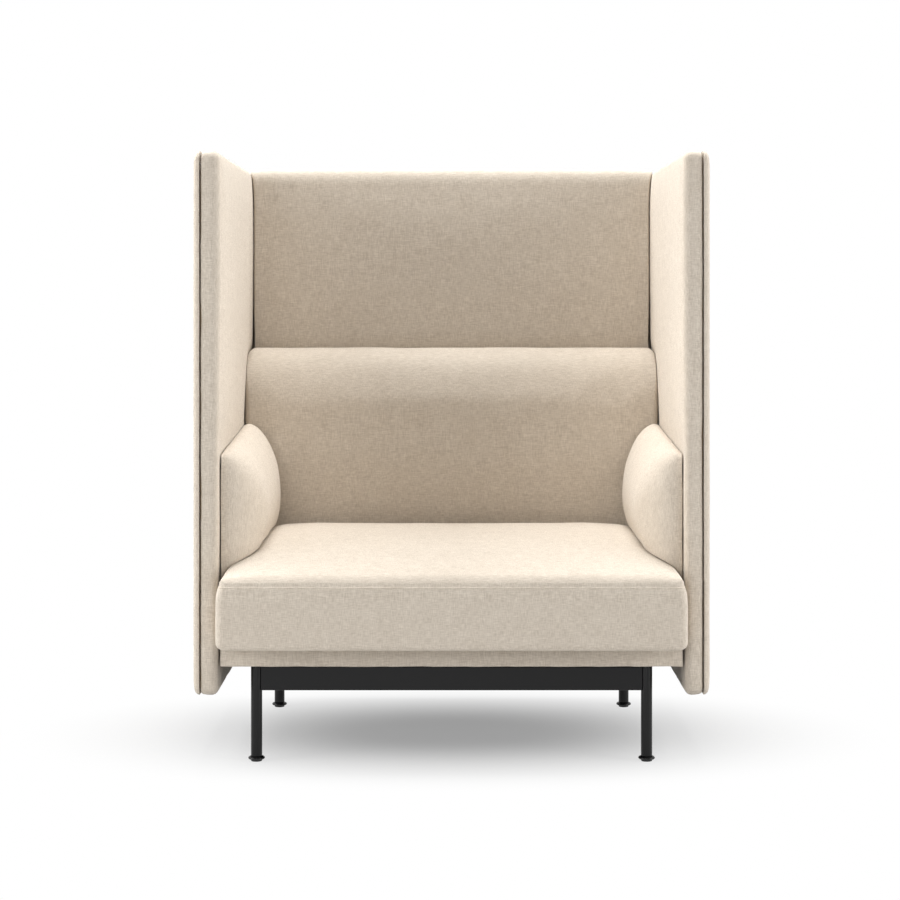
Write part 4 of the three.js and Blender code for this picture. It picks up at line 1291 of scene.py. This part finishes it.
# Side of a levelling foot's flange: mm out from its rim, and mm up from its underside
FLANGE_SIDE = ((-4.9, 0), (-1.6, 1.2), (0, 3), (-0.5, 4.6), (-2.4, 6.2))
FLANGE_TOP = -5.6
FOOT_EDGE = 1.2 * MM
GLIDE_EDGE = 0.5 * MM


class AddLevellingFeet(ChairOperator, bpy.types.Operator):
    """Adds the screwed steel feet and the nylon glides that they stand on"""

    bl_idname = "lounge_chair.add_levelling_feet"
    bl_label = "Levelling feet"

    def execute(self, context):
        sizes = context.scene.chair_steel
        for corner in CORNERS:
            foot_low, foot_high = low_of(f"{corner}_levelling_foot"), high_of(f"{corner}_levelling_foot")
            glide_low, glide_high = low_of(f"{corner}_glide_pad"), high_of(f"{corner}_glide_pad")
            middle = (foot_low + foot_high) / 2
            place = (middle[0], middle[1], 0)
            under = foot_low[2]
            disc, disc_top = (glide_high[0] - glide_low[0]) / 2, under - FIT
            rim = (foot_high[0] - foot_low[0]) / 2
            spigot, spigot_top = 3 * MM, glide_high[2]
            outline = [(0, spigot_top + FIT), (spigot + FIT, spigot_top + FIT), (spigot + FIT, under)]
            outline += [(rim + out * MM, under + up * MM) for out, up in FLANGE_SIDE]
            outline += [
                (rim + FLANGE_TOP * MM, sizes.flange_height), (sizes.stud, sizes.flange_height),
                (sizes.stud, foot_high[2]), (0, foot_high[2]),
            ]
            foot = turned(f"{corner}_foot_turned", broken_edge(outline, FOOT_EDGE), place, black_coat())
            dress(foot, f"{corner}_levelling_foot", f"{corner}_foot")
            outline = [
                (0, 0), (disc, 0), (disc, disc_top), (spigot, disc_top), (spigot, spigot_top),
                (0, spigot_top),
            ]
            nylon = new_finish("black moulded nylon", moulded_nylon)
            glide = turned(f"{corner}_glide_moulded", broken_edge(outline, GLIDE_EDGE), place, nylon)
            dress(glide, f"{corner}_glide_pad", f"{corner}_glide")
        return {"FINISHED"}


class FinishHiddenParts(ChairOperator, bpy.types.Operator):
    """Gives the timber, plywood, webbing, plates and bolts of the frame their finishes"""

    bl_idname = "lounge_chair.finish_hidden_parts"
    bl_label = "Hidden parts"

    def execute(self, context):
        tints = colours()
        beech, birch = tuple(tints.beech), tuple(tints.birch)
        across = new_finish("planed beech, grain across", timber(beech, 0))
        along = new_finish("planed beech, grain lengthwise", timber(beech, 1))
        side_board = new_finish("birch plywood, side screens", timber(birch, 2, 0))
        back_board = new_finish("birch plywood, back screen", timber(birch, 2, 1))
        webbing = new_finish("elastic webbing", seat_webbing)
        zinc = new_finish("bright zinc plate", zinc_plate)
        for name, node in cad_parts.items():
            if node.hide_render:
                continue
            if "bolt" in name:
                finish = zinc
            elif name == "back_screen_core":
                finish = back_board
            elif name.endswith("_core"):
                finish = side_board
            elif name.startswith("seat_strap"):
                finish = webbing
            elif name in ("base_front_rail", "base_rear_rail"):
                finish = across
            elif name.endswith(("_rail", "_bearer")):
                finish = along
            elif name.endswith("_plate"):
                finish = black_coat()
            else:
                raise RuntimeError(f"{name} has no finish")
            node.material_slots[0].material = finish
        return {"FINISHED"}


# The camera's lens and sensor in mm, its shifts in sensor widths and its place
LENS, SENSOR = 80.84, 36
SHIFT_X, SHIFT_Y = -0.00177, -0.1668
CAMERA_PLACE = (0, -4.2195, 0.9015)

# Middle and width of each softbox, and the point that they face
SOFTBOXES = {
    "left_low": ((-3.2, -1.4, 1.3), 2.0),
    "left_high": ((-2.4, 0.4, 3.0), 1.6),
    "right_low": ((3.2, -1.4, 1.3), 2.0),
    "right_high": ((2.4, 0.4, 3.0), 1.6),
    "top": ((0, 0.5, 4.2), 1.6),
    "front": ((-0.6, -4.0, 1.3), 1.2),
}
LIT_POINT = Vector((0, 0, 0.7))


def seen_plainly(tree):
    """1 for what the camera sees, by itself, in metal or through glass."""
    paths = add_node(tree, "ShaderNodeLightPath").outputs
    seen = paths["Is Camera Ray"]
    for name in ("Is Glossy Ray", "Is Transmission Ray"):
        seen = add_node(tree, MATH, {0: seen, 1: paths[name]}, operation="MAXIMUM").outputs[0]
    return seen


def pale_floor(tree, surface, place):
    """Matt paint. It fades to plain white away from the chair, keeps the chair's shadow, and is clear to a
    camera below it."""
    shadow_size = (0.62, 0.36, 1)  # of the ground under the chair, where the camera sees the shadow
    keep, fade = 0.25, 1.5  # where the fade starts and ends, in shadow sizes
    lift = 0.3  # share of white where it starts
    feed(surface, {
        "Base Color": opaque(bpy.context.scene.chair_stage.floor),
        "Roughness": 0.95,
        "Specular IOR Level": 0.1,
    })
    scaled = add_node(tree, VECTOR_MATH, {0: place, 1: shadow_size}, operation="DIVIDE").outputs[0]
    away = add_node(tree, VECTOR_MATH, {0: scaled}, operation="LENGTH").outputs["Value"]
    fading = {"Value": away, "From Min": keep, "From Max": fade, "To Min": lift}
    far = add_node(tree, MAP_RANGE, fading, interpolation_type="SMOOTHSTEP").outputs[0]
    blank = add_node(tree, MATH, {0: far, 1: seen_plainly(tree)}, operation="MULTIPLY").outputs[0]
    white = add_node(tree, "ShaderNodeEmission", {"Color": (1, 1, 1, 1), "Strength": 1}).outputs[0]
    faded = add_node(tree, "ShaderNodeMixShader", {0: blank, 1: surface.outputs[0], 2: white}).outputs[0]
    under = add_node(tree, "ShaderNodeNewGeometry").outputs["Backfacing"]
    camera_ray = add_node(tree, "ShaderNodeLightPath").outputs["Is Camera Ray"]
    from_below = add_node(tree, MATH, {0: under, 1: camera_ray}, operation="MULTIPLY").outputs[0]
    clear = add_node(tree, "ShaderNodeBsdfTransparent").outputs[0]
    final = add_node(tree, "ShaderNodeMixShader", {0: from_below, 1: faded, 2: clear})
    feed(tree.nodes["Material Output"], {"Surface": final.outputs[0]})


class AddStage(ChairOperator, bpy.types.Operator):
    """Adds the camera, the soft lights and a plain pale floor"""

    bl_idname = "lounge_chair.add_stage"
    bl_label = "Stage"

    def execute(self, context):
        settings = context.scene.chair_stage
        self.add_camera(context)
        self.add_floor(context)
        self.add_world(context, settings)
        for name, (place, width) in SOFTBOXES.items():
            self.add_softbox(context, name, place, width, getattr(settings, name))
        context.scene.view_settings.view_transform = "Standard"
        return {"FINISHED"}

    def add_camera(self, context):
        camera = bpy.data.cameras.new("camera")
        camera.sensor_width = SENSOR
        camera.lens = LENS
        camera.shift_x = SHIFT_X
        camera.shift_y = SHIFT_Y
        holder = bpy.data.objects.new("camera", camera)
        holder.location = CAMERA_PLACE
        holder.rotation_euler = (math.pi / 2, 0, 0)
        context.scene.collection.objects.link(holder)
        context.scene.camera = holder

    def add_softbox(self, context, name, place, width, energy):
        name = f"{name.replace('_', ' ')} softbox"
        lamp = bpy.data.lights.new(name, "AREA")
        lamp.shape = "SQUARE"
        lamp.size = width
        lamp.energy = energy
        holder = bpy.data.objects.new(name, lamp)
        holder.location = place
        aim = LIT_POINT - Vector(place)
        holder.rotation_euler = aim.to_track_quat("-Z", "Y").to_euler()
        holder.visible_camera = False
        context.scene.collection.objects.link(holder)

    def add_world(self, context, settings):
        """Even light, seen as white by the camera and in reflections."""
        world = bpy.data.worlds.new("plain studio")
        world.use_nodes = True
        tree = world.node_tree
        levels = {"Value": seen_plainly(tree), "To Min": settings.ambient, "To Max": 1}
        strength = add_node(tree, MAP_RANGE, levels).outputs[0]
        feed(tree.nodes["Background"], {"Color": (1, 1, 1, 1), "Strength": strength})
        context.scene.world = world

    def add_floor(self, context):
        reach = 9
        turns = np.linspace(0, 2 * math.pi, 96, endpoint=False)
        rim = [(reach * math.cos(t), reach * math.sin(t), 0) for t in turns]
        mesh = bpy.data.meshes.new("floor")
        mesh.from_pydata(rim, [], [list(range(len(rim)))])
        mesh.materials.append(new_finish("pale floor", pale_floor))
        floor = bpy.data.objects.new("floor", mesh)
        context.scene.collection.objects.link(floor)


OPERATORS = (
    AddStage,
    AddScreenPads,
    AddScreenSkins,
    AddSeatCushion,
    AddLowerBackCushion,
    AddArmPads,
    AddBaseCovers,
    AddDustCloth,
    AddLegs,
    AddBeams,
    AddLevellingFeet,
    FinishHiddenParts,
)


class LoungeChairPanel(bpy.types.Panel):
    """Lists the chair's sizes, colours and pieces"""

    bl_idname = "VIEW3D_PT_lounge_chair"
    bl_label = "Lounge Chair"
    bl_space_type = "VIEW_3D"
    bl_region_type = "UI"
    bl_category = "Lounge Chair"

    def draw(self, context):
        for name in GROUPS:
            group = getattr(context.scene, name)
            box = self.layout.box()
            for prop in group.bl_rna.properties:
                if prop.identifier not in ("rna_type", "name"):
                    box.prop(group, prop.identifier)
        for operator in OPERATORS:
            self.layout.operator(operator.bl_idname)


CLASSES = (*GROUPS.values(), *OPERATORS, LoungeChairPanel)


def register():
    for cls in CLASSES:
        bpy.utils.register_class(cls)
    for name, group in GROUPS.items():
        setattr(bpy.types.Scene, name, PointerProperty(type=group))


def unregister():
    for name in GROUPS:
        delattr(bpy.types.Scene, name)
    for cls in reversed(CLASSES):
        bpy.utils.unregister_class(cls)


def main():
    register()
    for operator in OPERATORS:
        group, name = operator.bl_idname.split(".")
        getattr(getattr(bpy.ops, group), name)()


if __name__ == "__main__":
    main()
